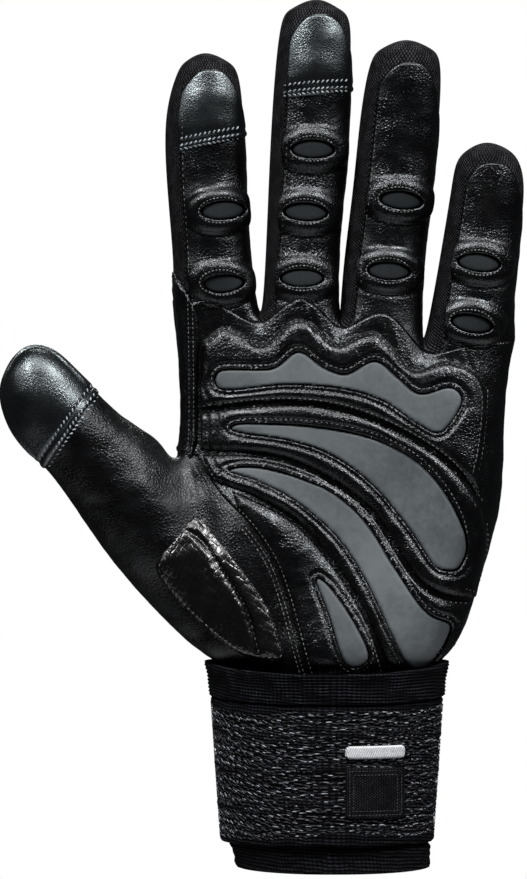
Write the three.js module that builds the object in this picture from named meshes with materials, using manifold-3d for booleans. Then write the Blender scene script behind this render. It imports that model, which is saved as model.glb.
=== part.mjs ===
// Full-finger weightlifting glove for the left hand, with a wrist wrap.
// Millimetres. +Z runs up the hand to the fingertips, +X is to the right in the
// front view, and the palm faces -Y. The origin is the middle of the wrist opening.
import * as THREE from 'three';
import Module from 'manifold-3d';

const wasm = await Module();
wasm.setup();

// Driving dimensions
const LEATHER = 1.3;
const KNIT = 1.1;
const JOIN_GAP = 0.3;
const LAYER_GAP = 0.4;
const PAD_GROOVE = 1;
const RIM_BACK = 0.3;
const SHARPEST_MITRE = 0.6;
const PAD_RISE = 2.8;
const GRIP_RISE = 2.2;
const ROLL_RISE = 2.1;
const INSERT_RISE = 1.6;
const PATCH_RISE = 1.2;
const STRIP_RISE = 0.9;
const CUTTER_REACH = 60;
const WELD = 1e-4;
const OVAL_SIDES = 10;
const SEAM_STEP = 5;
const LONG_SEAM_STEP = 8;
const OUTLINE_STEP = 7;
const CROWN_POWER = 2.3;
const FIT_ROUNDS = 10;
const SLEEVE_WALL = 1.5;
const STRAP_WALL = 1.8;
const HEM_WALL = 2.1;
const TAB_WALL = 1.2;
const WRIST_RATIO = 0.71;
const INSERT_SIZE = { halfLong: 5.2, halfShort: 2.5 };
const ROLL_SIZE = { halfLong: 8.4, halfShort: 6.0 };

// Share of the palm's width at which each column of the front and back stands.
const COLUMNS = [0.035, 0.115, 0.25, 0.375, 0.487, 0.615, 0.73, 0.85, 0.925];

// Sections of the palm, from inside the wrap up to the finger roots.
// tilt lowers the little finger's side, fill keeps the thumb's side thick.
const PALM_ROWS = [
  { z: 54, left: -29.7, right: 27.9, front: 20.2, back: 20.2, thenar: 0, heel: 0, tilt: 0, fill: 0 },
  { z: 60, left: -30.4, right: 28.6, front: 20.6, back: 20.6, thenar: 0, heel: 0, tilt: 0, fill: 0 },
  { z: 68, left: -40.5, right: 36.4, front: 21, back: 20.5, thenar: 2, heel: 1, tilt: 0, fill: 0.55 },
  { z: 86, left: -40, right: 43, front: 17, back: 18.5, thenar: 6.5, heel: 3, tilt: 0, fill: 0.85 },
  { z: 104, left: -41, right: 47.5, front: 14.5, back: 17, thenar: 6, heel: 4, tilt: 0, fill: 0.8 },
  { z: 121, left: -43.5, right: 49.8, front: 14, back: 16, thenar: 1.5, heel: 3.5, tilt: 0, fill: 0.5 },
  { z: 142, left: -42.6, right: 50.4, front: 13.8, back: 14.5, thenar: 0, heel: 1, tilt: -3, fill: 0 },
];
const THENAR = { at: 0.17, spread: 0.16 };
const HEEL = { at: 0.85, spread: 0.14 };

// Finger roots: one row of front and back points, thinner at the columns of the three
// webs between the fingers, which sit a little higher at the back.
const ROOT = {
  left: -44.6, right: 52.3, depth: 12, fill: 0.72, sideZ: { left: 165, right: 153.5 },
  height: [163.5, 164.5, 158.5, 165, 157, 161, 150.5, 151.5, 152.5],
};
const WEB_COLUMNS = { at: [2, 4, 6], thinning: 0.82, backRise: 2 };
const WEBS = [
  { x: -20.2, z: 161.5 },
  { x: 2.5, z: 160.5 },
  { x: 26.2, z: 154.5 },
];

// Sections of each finger, from its root to its tip, and the tip itself.
const FINGERS = {
  index: {
    rows: [
      { z: 177, left: -45, right: -22.4, y: -0.5, depth: 10.8 },
      { z: 198, left: -46.6, right: -24.1, y: -1.6, depth: 10 },
      { z: 217, left: -46.8, right: -25, y: -3, depth: 9.2 },
      { z: 229, left: -43.9, right: -27, y: -4.3, depth: 7.6 },
      { z: 233.4, left: -40.2, right: -30.8, y: -4.9, depth: 4.6 },
    ],
    tip: { x: -35.5, y: -5.2, z: 235.4 },
  },
  middle: {
    rows: [
      { z: 178, left: -18.5, right: 2.4, y: -0.5, depth: 10.8 },
      { z: 203, left: -17.4, right: 4.5, y: -1.7, depth: 10 },
      { z: 226, left: -16.1, right: 5.6, y: -3.4, depth: 9.2 },
      { z: 243, left: -14, right: 5, y: -5, depth: 7.8 },
      { z: 248.4, left: -10, right: 1.4, y: -5.6, depth: 4.8 },
    ],
    tip: { x: -4, y: -6, z: 250.6 },
  },
  ring: {
    rows: [
      { z: 174, left: 3.7, right: 26.6, y: -0.5, depth: 10.5 },
      { z: 196, left: 6.3, right: 29, y: -1.7, depth: 9.7 },
      { z: 217, left: 8.7, right: 31, y: -3.2, depth: 8.9 },
      { z: 232, left: 11.6, right: 30.8, y: -4.6, depth: 7.6 },
      { z: 237, left: 16.2, right: 27, y: -5.2, depth: 4.6 },
    ],
    tip: { x: 21.6, y: -5.5, z: 239.1 },
  },
  little: {
    rows: [
      { z: 164, left: 29.1, right: 52.6, y: -0.3, depth: 10.3 },
      { z: 181, left: 32.3, right: 54, y: -1.2, depth: 9.3 },
      { z: 196, left: 34.6, right: 55.2, y: -2.5, depth: 8.5 },
      { z: 204.2, left: 36.4, right: 53.4, y: -3.4, depth: 7.2 },
      { z: 208.2, left: 40.4, right: 49.4, y: -3.9, depth: 4.4 },
    ],
    tip: { x: 44.7, y: -4.2, z: 210 },
  },
};

// Sections of the thumb on its own axes: s runs along it at 45 degrees, c across it.
const THUMB_ROWS = [
  { lowS: 97, highS: 121, lowC: 19.8, highC: 53.4, y: -4, depth: 16.5 },
  { lowS: 112, highS: 128, lowC: 21.4, highC: 52.8, y: -6.5, depth: 14 },
  { lowS: 125, highS: 136, lowC: 23.8, highC: 51.4, y: -8.5, depth: 12.3 },
  { lowS: 138, highS: 144, lowC: 25.4, highC: 51.1, y: -10.2, depth: 11.6 },
  { lowS: 150, highS: 152, lowC: 25.9, highC: 51.2, y: -11.6, depth: 11 },
  { lowS: 158.5, highS: 161, lowC: 28.6, highC: 50.6, y: -12.6, depth: 9.2 },
  { lowS: 164, highS: 166, lowC: 33.2, highC: 47.6, y: -13.2, depth: 5.6 },
];
const THUMB_TIP = { s: 167.6, c: 40.8, y: -13.6 };
const THUMB_ANGLES = [160, 112, 70, 32, 355, 322, 285, 255, 225, 192];
const THUMB_ROOT_ROWS = { first: 2, last: 5 };

// Seams of the palm in the front view, x and z, from the thumb's side to the heel's.
const SEAMS = {
  wave: [
    [-37, 153], [-31, 157.7], [-26, 156.5], [-19.3, 153], [-13, 158.2], [-9.1, 159.9], [-5, 158.6],
    [1.7, 153], [8, 155.6], [13, 156.2], [18.5, 151], [23.6, 145.1], [32.5, 148], [40, 145.3],
    [44, 137.7], [43, 124], [41.4, 116],
  ],
  first: [
    [-37, 133.4], [-22, 135.3], [-9, 135.6], [3, 134], [15, 129.8], [28, 122.7], [36, 115.8], [41.8, 107.5],
  ],
  second: [
    [-36.9, 121.5], [-24, 121.3], [-12, 119.3], [0, 113.7], [11, 105.4], [18, 95], [24, 86], [31, 81.3],
    [40, 79.9],
  ],
  third: [[-34, 113.1], [-22, 108.8], [-10, 102], [0, 91.2], [8.6, 78], [13, 67.5], [15.2, 60.5]],
  thumb: [[-37.4, 119.7], [-31, 109.7], [-22, 99.8], [-16, 90.5], [-12, 79.4], [-8, 64.6], [-6, 58]],
  heelUpper: [[43.7, 101.1], [44, 96], [42.9, 89.1], [40.8, 81]],
  heelLower: [[39.3, 78], [34.9, 67.4], [30.3, 62.2], [26.9, 60.3]],
};

// The rest of the thumb panel's outline: round the thumb and back to its seam's start.
const BEYOND_THUMB = [[-6, 40], [-120, 40], [-120, 170], [-60, 170], [-43.6, 121.5], [-40, 121.5]];

// Grip inlays in the front view, x and z round each outline.
const GRIPS = {
  wave: [
    [-31.1, 144.7], [-20, 144.9], [-15, 145.8], [-8.9, 150.1], [-2, 145.6], [4.5, 143.8], [12.5, 147.5],
    [18.6, 143], [25, 138.2], [33.5, 139.9], [36.9, 136.2], [33.1, 129.1], [29.4, 127], [23, 130.6],
    [14.9, 136], [4, 139.4], [-12, 140.7], [-30, 139.3],
  ],
  upper: [
    [-28, 128.2], [-25.5, 129.7], [-17, 129.8], [-4.9, 129.1], [6, 127.3], [15.4, 124.3], [24, 119.4],
    [31, 112], [36, 102.9], [37.4, 95], [35.3, 89.4], [32.3, 88.2], [28.5, 90.3], [22, 100.3], [12, 112.3],
    [0, 121], [-12, 125], [-24, 126.8],
  ],
  lower: [
    [-28.7, 116.3], [-25, 117.3], [-18, 116.9], [-8, 114.1], [1, 110], [10, 101.7], [18, 89.1], [24, 79.7],
    [28, 75.8], [32.6, 73.6], [31.3, 68.5], [27, 62.5], [24, 61], [20.5, 63], [16, 72], [10, 85], [2, 97.3],
    [-8.6, 106.6], [-20, 113], [-27, 115.3],
  ],
  drop: [
    [-3.7, 86.3], [0, 83.2], [5.7, 75.1], [9.8, 67.2], [10.2, 63.4], [7, 61.2], [4, 62.4], [1.7, 67.5],
    [-1, 76.6], [-4.3, 84.9],
  ],
};

// Patches in the front view, x and z round each outline.
const PATCHES = {
  thenar: [[-38, 103.6], [-43.5, 97.5], [-49.2, 90], [-46, 83], [-37, 73.5], [-25.5, 65], [-14, 63.4],
    [-14.5, 69.5], [-17.8, 78], [-22.3, 85], [-27.4, 91.7], [-33, 98.6]],
  strip: [[-60, 172], [-43.6, 172.2], [-40.6, 169], [-38.6, 165], [-37.6, 159], [-37.5, 126], [-38.6, 121],
    [-41, 119.6], [-60, 119.6]],
};

// Oval inserts: finger, centre x and z, and the turn of the long way in degrees.
const INSERTS = [
  { finger: 'index', x: -31.1, z: 190.1, turn: 6 },
  { finger: 'index', x: -30.8, z: 169.7, turn: 0 },
  { finger: 'middle', x: -5.2, z: 207.5, turn: 0 },
  { finger: 'middle', x: -7.1, z: 189.7, turn: 0 },
  { finger: 'middle', x: -8.1, z: 170.9, turn: 0 },
  { finger: 'ring', x: 19.6, z: 193.1, turn: -4 },
  { finger: 'ring', x: 16.3, z: 173, turn: 0 },
  { finger: 'little', x: 42.1, z: 175.3, turn: -6 },
  { finger: 'little', x: 39.9, z: 158.4, turn: -8 },
];

// Touch leather of the fingertips: lowest and highest z and the left edge.
const TOUCH_TIPS = [
  { finger: 'index', low: 207.4, high: 230.4, left: -42.8, right: -20, rise: 3 },
  { finger: 'middle', low: 222.3, high: 246, left: -13.2, right: 12, rise: 1.5 },
];
const THUMB_CAP_LINE = { from: [-64, 141], to: [-83, 114] };

// Bands of the wrist wrap: z, half width of the wrist inside, and how far the front
// edge dips. The strap and the hem lie on the sleeve.
const WRAP_BANDS = {
  sleeve: [
    { z: 3.6, half: 26.2, dip: 0.8, shift: 1.4 },
    { z: 12, half: 26.6, dip: 0 },
    { z: 34, half: 28.1, dip: 0 },
    { z: 57.4, half: 29.7, dip: 2 },
  ],
  strap: [
    { z: 11, half: 26.6, dip: 0 },
    { z: 31, half: 28, dip: 0 },
    { z: 51.8, half: 29.4, dip: 1.6 },
  ],
  hem: [
    { z: 52.3, half: 29.5, dip: 1.6 },
    { z: 57.4, half: 30.1, dip: 2 },
    { z: 62.2, half: 31, dip: 2.8 },
  ],
};
const ON_SLEEVE = SLEEVE_WALL + LAYER_GAP;
const WRIST_OPENING_Z = 3.2;
const WRIST_MIDDLE_X = -0.9;
const DIP_POWER = 1.5;
const STRAP_TURN = { start: 60, overlap: 65, ramp: 30, step: 12 };
const TAB_TURN = { start: 92, sweep: 26 };
const MARKS = [
  { name: 'wrap_patch', left: 4, right: 21, low: 18.6, high: 33.4, rise: 0.7, finish: 'elastic' },
  { name: 'wrap_bar', left: 4, right: 21, low: 36, high: 40, rise: 0.9, finish: 'thread' },
];

// Materials
const FINISHES = {
  leather: { color: 0x17171a, roughness: 0.42, metalness: 0 },
  touchLeather: { color: 0x1b1d21, roughness: 0.25, metalness: 0 },
  scaleLeather: { color: 0x1a1a1c, roughness: 0.3, metalness: 0 },
  knit: { color: 0x1c1d20, roughness: 0.95, metalness: 0 },
  grip: { color: 0x4a5052, roughness: 0.75, metalness: 0 },
  insert: { color: 0x36393b, roughness: 0.7, metalness: 0 },
  elastic: { color: 0x14161b, roughness: 0.9, metalness: 0 },
  thread: { color: 0xcfd0d2, roughness: 0.8, metalness: 0 },
};

function bell(u, hump) {
  const away = (u - hump.at) / hump.spread;
  return Math.exp(-away * away);
}

function crown(u, fill) {
  const round = Math.pow(1 - Math.pow(Math.abs(2 * u - 1), CROWN_POWER), 1 / CROWN_POWER);
  return u < 0.5 ? Math.max(round, fill) : round;
}

// The cage: points on the glove's outer surface and the four-sided faces between them.
class Cage {
  constructor() {
    this.points = [];
    this.faces = [];
  }

  point(x, y, z) {
    this.points.push(new THREE.Vector3(x, y, z));
    return this.points.length - 1;
  }

  face(corners, tag) {
    this.faces.push({ corners, tag });
  }

  // Joins two rings of points with a band of faces, tagged by their place in the ring.
  band(lower, upper, tagOf) {
    lower.forEach((corner, i) => {
      const next = (i + 1) % lower.length;
      this.face([corner, lower[next], upper[next], upper[i]], tagOf(i));
    });
  }

  // Closes a ring with faces that meet at a tip.
  cap(ring, tip, tagOf) {
    for (let i = 0; i < ring.length; i += 2) {
      const after = (i + 2) % ring.length;
      this.face([ring[i], ring[i + 1], ring[after], tip], tagOf(i));
    }
  }
}

// One row of palm points: front from left to right, right side, back, left side.
function palmRow(cage, row) {
  const width = row.right - row.left;
  const height = (u) => row.z + row.tilt * (u - 0.5);
  const front = COLUMNS.map((u) => {
    const depth = row.front * crown(u, row.fill) + row.thenar * bell(u, THENAR) + row.heel * bell(u, HEEL);
    return cage.point(row.left + width * u, -depth, height(u));
  });
  const right = cage.point(row.right, 0, height(1));
  const back = COLUMNS.map((u) =>
    cage.point(row.left + width * u, row.back * crown(u, row.fill), height(u)));
  const left = cage.point(row.left, 0, height(0));
  return { front, right, back, left };
}

function rootRow(cage) {
  const width = ROOT.right - ROOT.left;
  const side = (sign) => COLUMNS.map((u, i) => {
    const web = WEB_COLUMNS.at.includes(i);
    const depth = ROOT.depth * crown(u, ROOT.fill) * (web ? WEB_COLUMNS.thinning : 1);
    const rise = sign > 0 && web ? WEB_COLUMNS.backRise : 0;
    return cage.point(ROOT.left + width * u, sign * depth, ROOT.height[i] + rise);
  });
  const front = side(-1);
  const right = cage.point(ROOT.right, 0, ROOT.sideZ.right);
  const back = side(1);
  const left = cage.point(ROOT.left, 0, ROOT.sideZ.left);
  return { front, right, back, left };
}

// Faces between two palm rows. The thumb's root leaves the left side open.
function palmBand(cage, lower, upper, openLeft) {
  for (let i = 0; i < COLUMNS.length - 1; i += 1) {
    cage.face([lower.front[i], lower.front[i + 1], upper.front[i + 1], upper.front[i]], 'palm');
    cage.face([lower.back[i + 1], lower.back[i], upper.back[i], upper.back[i + 1]], 'back');
  }
  const end = COLUMNS.length - 1;
  cage.face([lower.front[end], lower.right, upper.right, upper.front[end]], 'back');
  cage.face([lower.right, lower.back[end], upper.back[end], upper.right], 'back');
  if (!openLeft) {
    cage.face([lower.left, lower.front[0], upper.front[0], upper.left], 'palm');
    cage.face([lower.back[0], lower.left, upper.left, upper.back[0]], 'back');
  }
}

// A finger grows from eight points of the root row: front middle first, then to the right.
function growFinger(cage, name, base) {
  const { rows, tip } = FINGERS[name];
  const rings = rows.map((row) => {
    const half = (row.right - row.left) / 2;
    return base.map((_, i) => {
      const angle = i * Math.PI / 4;
      const x = (row.left + row.right) / 2 + half * Math.sin(angle);
      return cage.point(x, row.y - row.depth * Math.cos(angle), row.z);
    });
  });
  const tagOf = (i) => ([7, 0, 1].includes(i) ? name + '_leather' : name + '_knit');
  let lower = base;
  rings.forEach((ring, i) => {
    const tag = i === rings.length - 1 ? () => name + '_knit' : tagOf;
    cage.band(lower, ring, tag);
    lower = ring;
  });
  cage.cap(lower, cage.point(tip.x, tip.y, tip.z), () => name + '_knit');
}

function thumbPoint(cage, s, c, y) {
  return cage.point((c - s) / Math.SQRT2, y, (c + s) / Math.SQRT2);
}

function growThumb(cage, base) {
  const tagOf = (i) => (i < 4 ? 'thumb' : 'thumb_back');
  let lower = base;
  THUMB_ROWS.forEach((row) => {
    const ring = THUMB_ANGLES.map((degrees) => {
      const angle = THREE.MathUtils.degToRad(degrees);
      const up = (Math.cos(angle) + 1) / 2;
      const s = THREE.MathUtils.lerp(row.lowS, row.highS, up);
      const c = THREE.MathUtils.lerp(row.lowC, row.highC, up);
      return thumbPoint(cage, s, c, row.y - row.depth * Math.sin(angle));
    });
    cage.band(lower, ring, tagOf);
    lower = ring;
  });
  cage.cap(lower, thumbPoint(cage, THUMB_TIP.s, THUMB_TIP.c, THUMB_TIP.y), tagOf);
}

function buildCage() {
  const cage = new Cage();
  const rows = PALM_ROWS.map((row) => palmRow(cage, row));
  rows.push(rootRow(cage));
  const { first, last } = THUMB_ROOT_ROWS;
  for (let i = 0; i < rows.length - 1; i += 1) {
    palmBand(cage, rows[i], rows[i + 1], i >= first && i < last);
  }
  const top = rows[rows.length - 1];
  const webs = WEBS.map((web) => cage.point(web.x, 0, web.z));
  const sides = [top.left, ...webs, top.right];
  Object.keys(FINGERS).forEach((name, i) => {
    const a = 2 * i;
    growFinger(cage, name, [top.front[a + 1], top.front[a + 2], sides[i + 1], top.back[a + 2],
      top.back[a + 1], top.back[a], sides[i], top.front[a]]);
  });
  const root = rows.slice(first, last + 1);
  growThumb(cage, [root[0].front[0], root[1].front[0], root[2].front[0], root[3].front[0], root[3].left,
    root[3].back[0], root[2].back[0], root[1].back[0], root[0].back[0], root[0].left]);
  return dropUnused(cage);
}

// The two left points inside the thumb's root belong to no face.
function dropUnused(cage) {
  const used = new Map();
  const trimmed = new Cage();
  cage.faces.forEach(({ corners, tag }) => {
    const moved = corners.map((corner) => {
      if (!used.has(corner)) {
        const { x, y, z } = cage.points[corner];
        used.set(corner, trimmed.point(x, y, z));
      }
      return used.get(corner);
    });
    trimmed.face(moved, tag);
  });
  return trimmed;
}

// Neighbours of every point: along edges, across faces, and along the open rim.
function neighbours(cage) {
  const rings = cage.points.map(() => ({ edges: new Set(), corners: [], rim: [] }));
  const sides = new Map();
  cage.faces.forEach(({ corners }) => {
    corners.forEach((corner, i) => {
      const next = corners[(i + 1) % 4];
      rings[corner].edges.add(next);
      rings[next].edges.add(corner);
      rings[corner].corners.push(corners[(i + 2) % 4]);
      const key = Math.min(corner, next) + '_' + Math.max(corner, next);
      sides.set(key, (sides.get(key) || 0) + 1);
    });
  });
  sides.forEach((count, key) => {
    if (count === 1) {
      const [a, b] = key.split('_').map(Number);
      rings[a].rim.push(b);
      rings[b].rim.push(a);
    }
  });
  return rings;
}

function sumOf(points, indices) {
  return [...indices].reduce((sum, i) => sum.add(points[i]), new THREE.Vector3());
}

// Where each point ends on the smooth surface that the cage stands for.
function limitPoints(cage, rings) {
  return cage.points.map((point, i) => {
    const { edges, corners, rim } = rings[i];
    if (rim.length > 0) {
      return sumOf(cage.points, rim).addScaledVector(point, 4).divideScalar(6);
    }
    const n = edges.size;
    const sum = sumOf(cage.points, edges).multiplyScalar(4).add(sumOf(cage.points, corners));
    return sum.addScaledVector(point, n * n).divideScalar(n * (n + 5));
  });
}

// Moves the cage so that the smooth surface runs through the tables' points.
function fitCage(cage) {
  const rings = neighbours(cage);
  const goals = cage.points.map((point) => point.clone());
  for (let round = 0; round < FIT_ROUNDS; round += 1) {
    const reached = limitPoints(cage, rings);
    cage.points.forEach((point, i) => point.add(goals[i]).sub(reached[i]));
  }
}

// One step of Catmull-Clark subdivision.
function subdivide(cage) {
  const rings = neighbours(cage);
  const fine = new Cage();
  cage.points.forEach((point, i) => {
    const { edges, corners, rim } = rings[i];
    const moved = new THREE.Vector3();
    if (rim.length > 0) {
      moved.copy(sumOf(cage.points, rim)).addScaledVector(point, 6).divideScalar(8);
    } else {
      const n = edges.size;
      moved.copy(sumOf(cage.points, edges)).multiplyScalar(6).add(sumOf(cage.points, corners));
      moved.divideScalar(4 * n * n).addScaledVector(point, 1 - 7 / (4 * n));
    }
    fine.point(moved.x, moved.y, moved.z);
  });
  const middles = cage.faces.map(({ corners }) => {
    const middle = sumOf(cage.points, corners).divideScalar(4);
    return fine.point(middle.x, middle.y, middle.z);
  });
  const besides = new Map();
  cage.faces.forEach(({ corners }, face) => {
    corners.forEach((corner, i) => {
      const next = corners[(i + 1) % 4];
      const key = Math.min(corner, next) + '_' + Math.max(corner, next);
      if (!besides.has(key)) {
        besides.set(key, { ends: [corner, next], faces: [] });
      }
      besides.get(key).faces.push(face);
    });
  });
  const edgePoints = new Map();
  besides.forEach(({ ends, faces }, key) => {
    const middle = sumOf(cage.points, ends);
    if (faces.length === 2) {
      middle.add(fine.points[middles[faces[0]]]).add(fine.points[middles[faces[1]]]).divideScalar(4);
    } else {
      middle.divideScalar(2);
    }
    edgePoints.set(key, fine.point(middle.x, middle.y, middle.z));
  });
  const edgePoint = (a, b) => edgePoints.get(Math.min(a, b) + '_' + Math.max(a, b));
  cage.faces.forEach(({ corners, tag }, face) => {
    corners.forEach((corner, i) => {
      const next = corners[(i + 1) % 4];
      const previous = corners[(i + 3) % 4];
      fine.face([corner, edgePoint(corner, next), middles[face], edgePoint(previous, corner)], tag);
    });
  });
  return fine;
}

// The smooth outer surface: points, their outward directions, and tagged faces.
function smoothSkin() {
  const cage = buildCage();
  fitCage(cage);
  const fine = subdivide(cage);
  const points = limitPoints(fine, neighbours(fine));
  const normals = points.map(() => new THREE.Vector3());
  fine.faces.forEach(({ corners }) => {
    const [a, b, c, d] = corners.map((corner) => points[corner]);
    const area = c.clone().sub(a).cross(d.clone().sub(b));
    corners.forEach((corner) => normals[corner].add(area));
  });
  normals.forEach((normal) => normal.normalize());
  return { points, normals, faces: fine.faces, coarseFaces: cage.faces, coarseCount: cage.points.length };
}

const SKIN = smoothSkin();

// A wall over the faces with the given tags, from one height over the skin to another.
// Its rim stands back from the neighbouring panel. Either side of the wall can be the
// cage's own large faces, whose corners are the first points of the skin.
function panel(tags, inner, outer, { setBack = RIM_BACK, coarseInside = false, coarseOutside = false } = {}) {
  const chosen = (faces) => faces.filter(({ tag }) => tags.includes(tag));
  const fine = chosen(SKIN.faces);
  const coarse = chosen(SKIN.coarseFaces);
  const { rim, pull } = panelRim(fine);
  const vertices = [];
  const index = new Map();
  const vertex = (corner, height) => {
    const key = corner + '_' + height;
    if (!index.has(key)) {
      const place = SKIN.points[corner].clone();
      if (pull.has(corner)) {
        const both = pull.get(corner);
        place.addScaledVector(both, 2 * setBack / Math.max(both.lengthSq(), SHARPEST_MITRE));
      }
      place.addScaledVector(SKIN.normals[corner], height);
      index.set(key, vertices.length / 3);
      vertices.push(place.x, place.y, place.z);
    }
    return index.get(key);
  };
  const triangles = [];
  (coarseOutside ? coarse : fine).forEach(({ corners }) => {
    const [a, b, c, d] = corners.map((corner) => vertex(corner, outer));
    triangles.push(a, b, c, a, c, d);
  });
  (coarseInside ? coarse : fine).forEach(({ corners }) => {
    const [a, b, c, d] = corners.map((corner) => vertex(corner, inner));
    triangles.push(a, c, b, a, d, c);
  });
  rim.forEach((middle, start) => {
    if (start >= SKIN.coarseCount) {
      return;
    }
    const end = rim.get(middle);
    const outside = coarseOutside ? [end, start] : [end, middle, start];
    const inside = coarseInside ? [start, end] : [start, middle, end];
    const loop = [
      ...outside.map((corner) => vertex(corner, outer)),
      ...inside.map((corner) => vertex(corner, inner)),
    ];
    const pivot = coarseOutside ? 3 : 1;
    for (let i = 1; i < loop.length - 1; i += 1) {
      const first = (pivot + i) % loop.length;
      triangles.push(loop[pivot], loop[first], loop[(first + 1) % loop.length]);
    }
  });
  return solid(vertices, triangles);
}

// The open edge of a patch, each point with the next one, and its way inwards.
function panelRim(faces) {
  const rim = new Map();
  const pull = new Map();
  const seen = new Set();
  faces.forEach(({ corners }) => corners.forEach((corner, i) => {
    seen.add(corner + '_' + corners[(i + 1) % 4]);
  }));
  faces.forEach(({ corners }) => corners.forEach((corner, i) => {
    const next = corners[(i + 1) % 4];
    if (!seen.has(next + '_' + corner)) {
      rim.set(corner, next);
      const along = SKIN.points[next].clone().sub(SKIN.points[corner]).normalize();
      [corner, next].forEach((end) => {
        const inward = SKIN.normals[end].clone().cross(along);
        pull.set(end, (pull.get(end) || new THREE.Vector3()).add(inward));
      });
    }
  }));
  return { rim, pull };
}

function solid(vertices, triangles) {
  const mesh = new wasm.Mesh({
    numProp: 3,
    vertProperties: Float32Array.from(vertices),
    triVerts: Uint32Array.from(triangles),
  });
  return new wasm.Manifold(mesh);
}

function solidOfGeometry(geometry) {
  const welded = new Map();
  const positions = geometry.attributes.position;
  const order = [];
  const vertices = [];
  for (let i = 0; i < positions.count; i += 1) {
    const place = [positions.getX(i), positions.getY(i), positions.getZ(i)];
    const key = place.map((value) => Math.round(value / WELD) + 0).join('_');
    if (!welded.has(key)) {
      welded.set(key, welded.size);
      vertices.push(...place);
    }
    order.push(welded.get(key));
  }
  const index = geometry.index ? [...geometry.index.array] : order.map((_, i) => i);
  return solid(vertices, index.map((i) => order[i]));
}

// A smooth curve through the points of a seam or outline, about one point a step.
function smooth(points, closed, step) {
  const curve = new THREE.CatmullRomCurve3(points.map(([x, z]) => new THREE.Vector3(x, 0, z)), closed);
  const count = Math.max(6, Math.round(curve.getLength() / step));
  const sampled = curve.getSpacedPoints(count).map(({ x, z }) => [x, z]);
  return closed ? sampled.slice(0, -1) : sampled;
}

// Moves an outline inwards by a distance, or outwards where it is negative.
function inset(outline, distance) {
  const turn = Math.sign(THREE.ShapeUtils.area(outline.map(([x, z]) => ({ x, y: z }))));
  return outline.map(([x, z], i) => {
    const before = outline[(i + outline.length - 1) % outline.length];
    const after = outline[(i + 1) % outline.length];
    const away = new THREE.Vector2(after[0] - before[0], after[1] - before[1]).normalize();
    return [x - turn * away.y * distance, z + turn * away.x * distance];
  });
}

// A straight cutter along Y with the given outline in the front view.
function prism(outline, fromY = -CUTTER_REACH, toY = CUTTER_REACH) {
  const shape = new THREE.Shape(outline.map(([x, z]) => new THREE.Vector2(x, z)));
  const geometry = new THREE.ExtrudeGeometry(shape, { depth: toY - fromY, bevelEnabled: false, steps: 1 });
  geometry.rotateX(Math.PI / 2);
  geometry.translate(0, toY, 0);
  return solidOfGeometry(geometry);
}

function ellipse(insert, halfLong, halfShort, count) {
  const turn = THREE.MathUtils.degToRad(insert.turn);
  return Array.from({ length: count }, (_, i) => {
    const angle = 2 * Math.PI * i / count;
    const along = halfLong * Math.cos(angle);
    const across = halfShort * Math.sin(angle);
    return [
      insert.x + along * Math.cos(turn) - across * Math.sin(turn),
      insert.z + along * Math.sin(turn) + across * Math.cos(turn),
    ];
  });
}

const group = new THREE.Group();

function add(name, body, finish) {
  const { numProp, vertProperties, triVerts } = body.getMesh();
  const positions = new Float32Array(triVerts.length * 3);
  triVerts.forEach((vertex, i) => {
    positions.set(vertProperties.subarray(vertex * numProp, vertex * numProp + 3), i * 3);
  });
  const geometry = new THREE.BufferGeometry();
  geometry.setAttribute('position', new THREE.BufferAttribute(positions, 3));
  geometry.computeVertexNormals();
  const mesh = new THREE.Mesh(geometry, new THREE.MeshStandardMaterial(FINISHES[finish]));
  mesh.name = name;
  group.add(mesh);
}

// Largest connected part of a cut, without slivers.
function largest(body) {
  return body.decompose().sort((a, b) => b.volume() - a.volume())[0];
}

// A knit panel, cut clear of the leather that it is sewn to where the two bend tightly.
function knitPanel(tag, beside) {
  const room = panel(beside, -LEATHER - JOIN_GAP, JOIN_GAP, { setBack: 0, coarseInside: true });
  return largest(panel([tag], -KNIT, 0, { coarseInside: true }).subtract(room));
}

// Fingers: a leather front with raised rolls round the inserts, and a knit back.
function addFingers() {
  Object.keys(FINGERS).forEach((name) => {
    const leather = [name + '_leather'];
    let front = panel(leather, -LEATHER, 0, { coarseInside: true });
    INSERTS.filter(({ finger }) => finger === name).forEach((insert, i) => {
      const patch = [name + '_leather', 'palm'];
      const { halfLong, halfShort } = INSERT_SIZE;
      const oval = (long, short) => prism(ellipse(insert, long, short, OVAL_SIDES), -CUTTER_REACH, 0);
      const hole = oval(halfLong + JOIN_GAP, halfShort + JOIN_GAP);
      const outside = oval(ROLL_SIZE.halfLong, ROLL_SIZE.halfShort);
      const roll = panel(leather, -LEATHER / 2, ROLL_RISE, { coarseInside: true });
      front = front.add(roll.intersect(outside).subtract(hole));
      const filling = oval(halfLong, halfShort);
      const body = panel(patch, JOIN_GAP, INSERT_RISE, { setBack: 0 }).intersect(filling);
      add(name + '_insert_' + (i + 1), largest(body), 'insert');
    });
    add(name + '_leather', largest(front), 'leather');
    add(name + '_knit', knitPanel(name + '_knit', leather), 'knit');
  });
}

// Palm, thumb and back of the hand. The thumb seam parts the palm from the thumb.
function addHand() {
  const thumbSide = [...smooth(SEAMS.thumb, false, SEAM_STEP), ...BEYOND_THUMB];
  const front = panel(['palm', 'thumb'], -LEATHER, 0, { coarseInside: true });
  const palmFront = front.subtract(prism(inset(thumbSide, -JOIN_GAP / 2)));
  add('palm_leather', largest(palmFront), 'leather');
  add('thumb_leather', largest(front.intersect(prism(inset(thumbSide, JOIN_GAP / 2)))), 'leather');
  add('hand_back', knitPanel('back', ['palm', 'thumb']), 'knit');
  add('thumb_back', knitPanel('thumb_back', ['palm', 'thumb']), 'knit');
}

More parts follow.
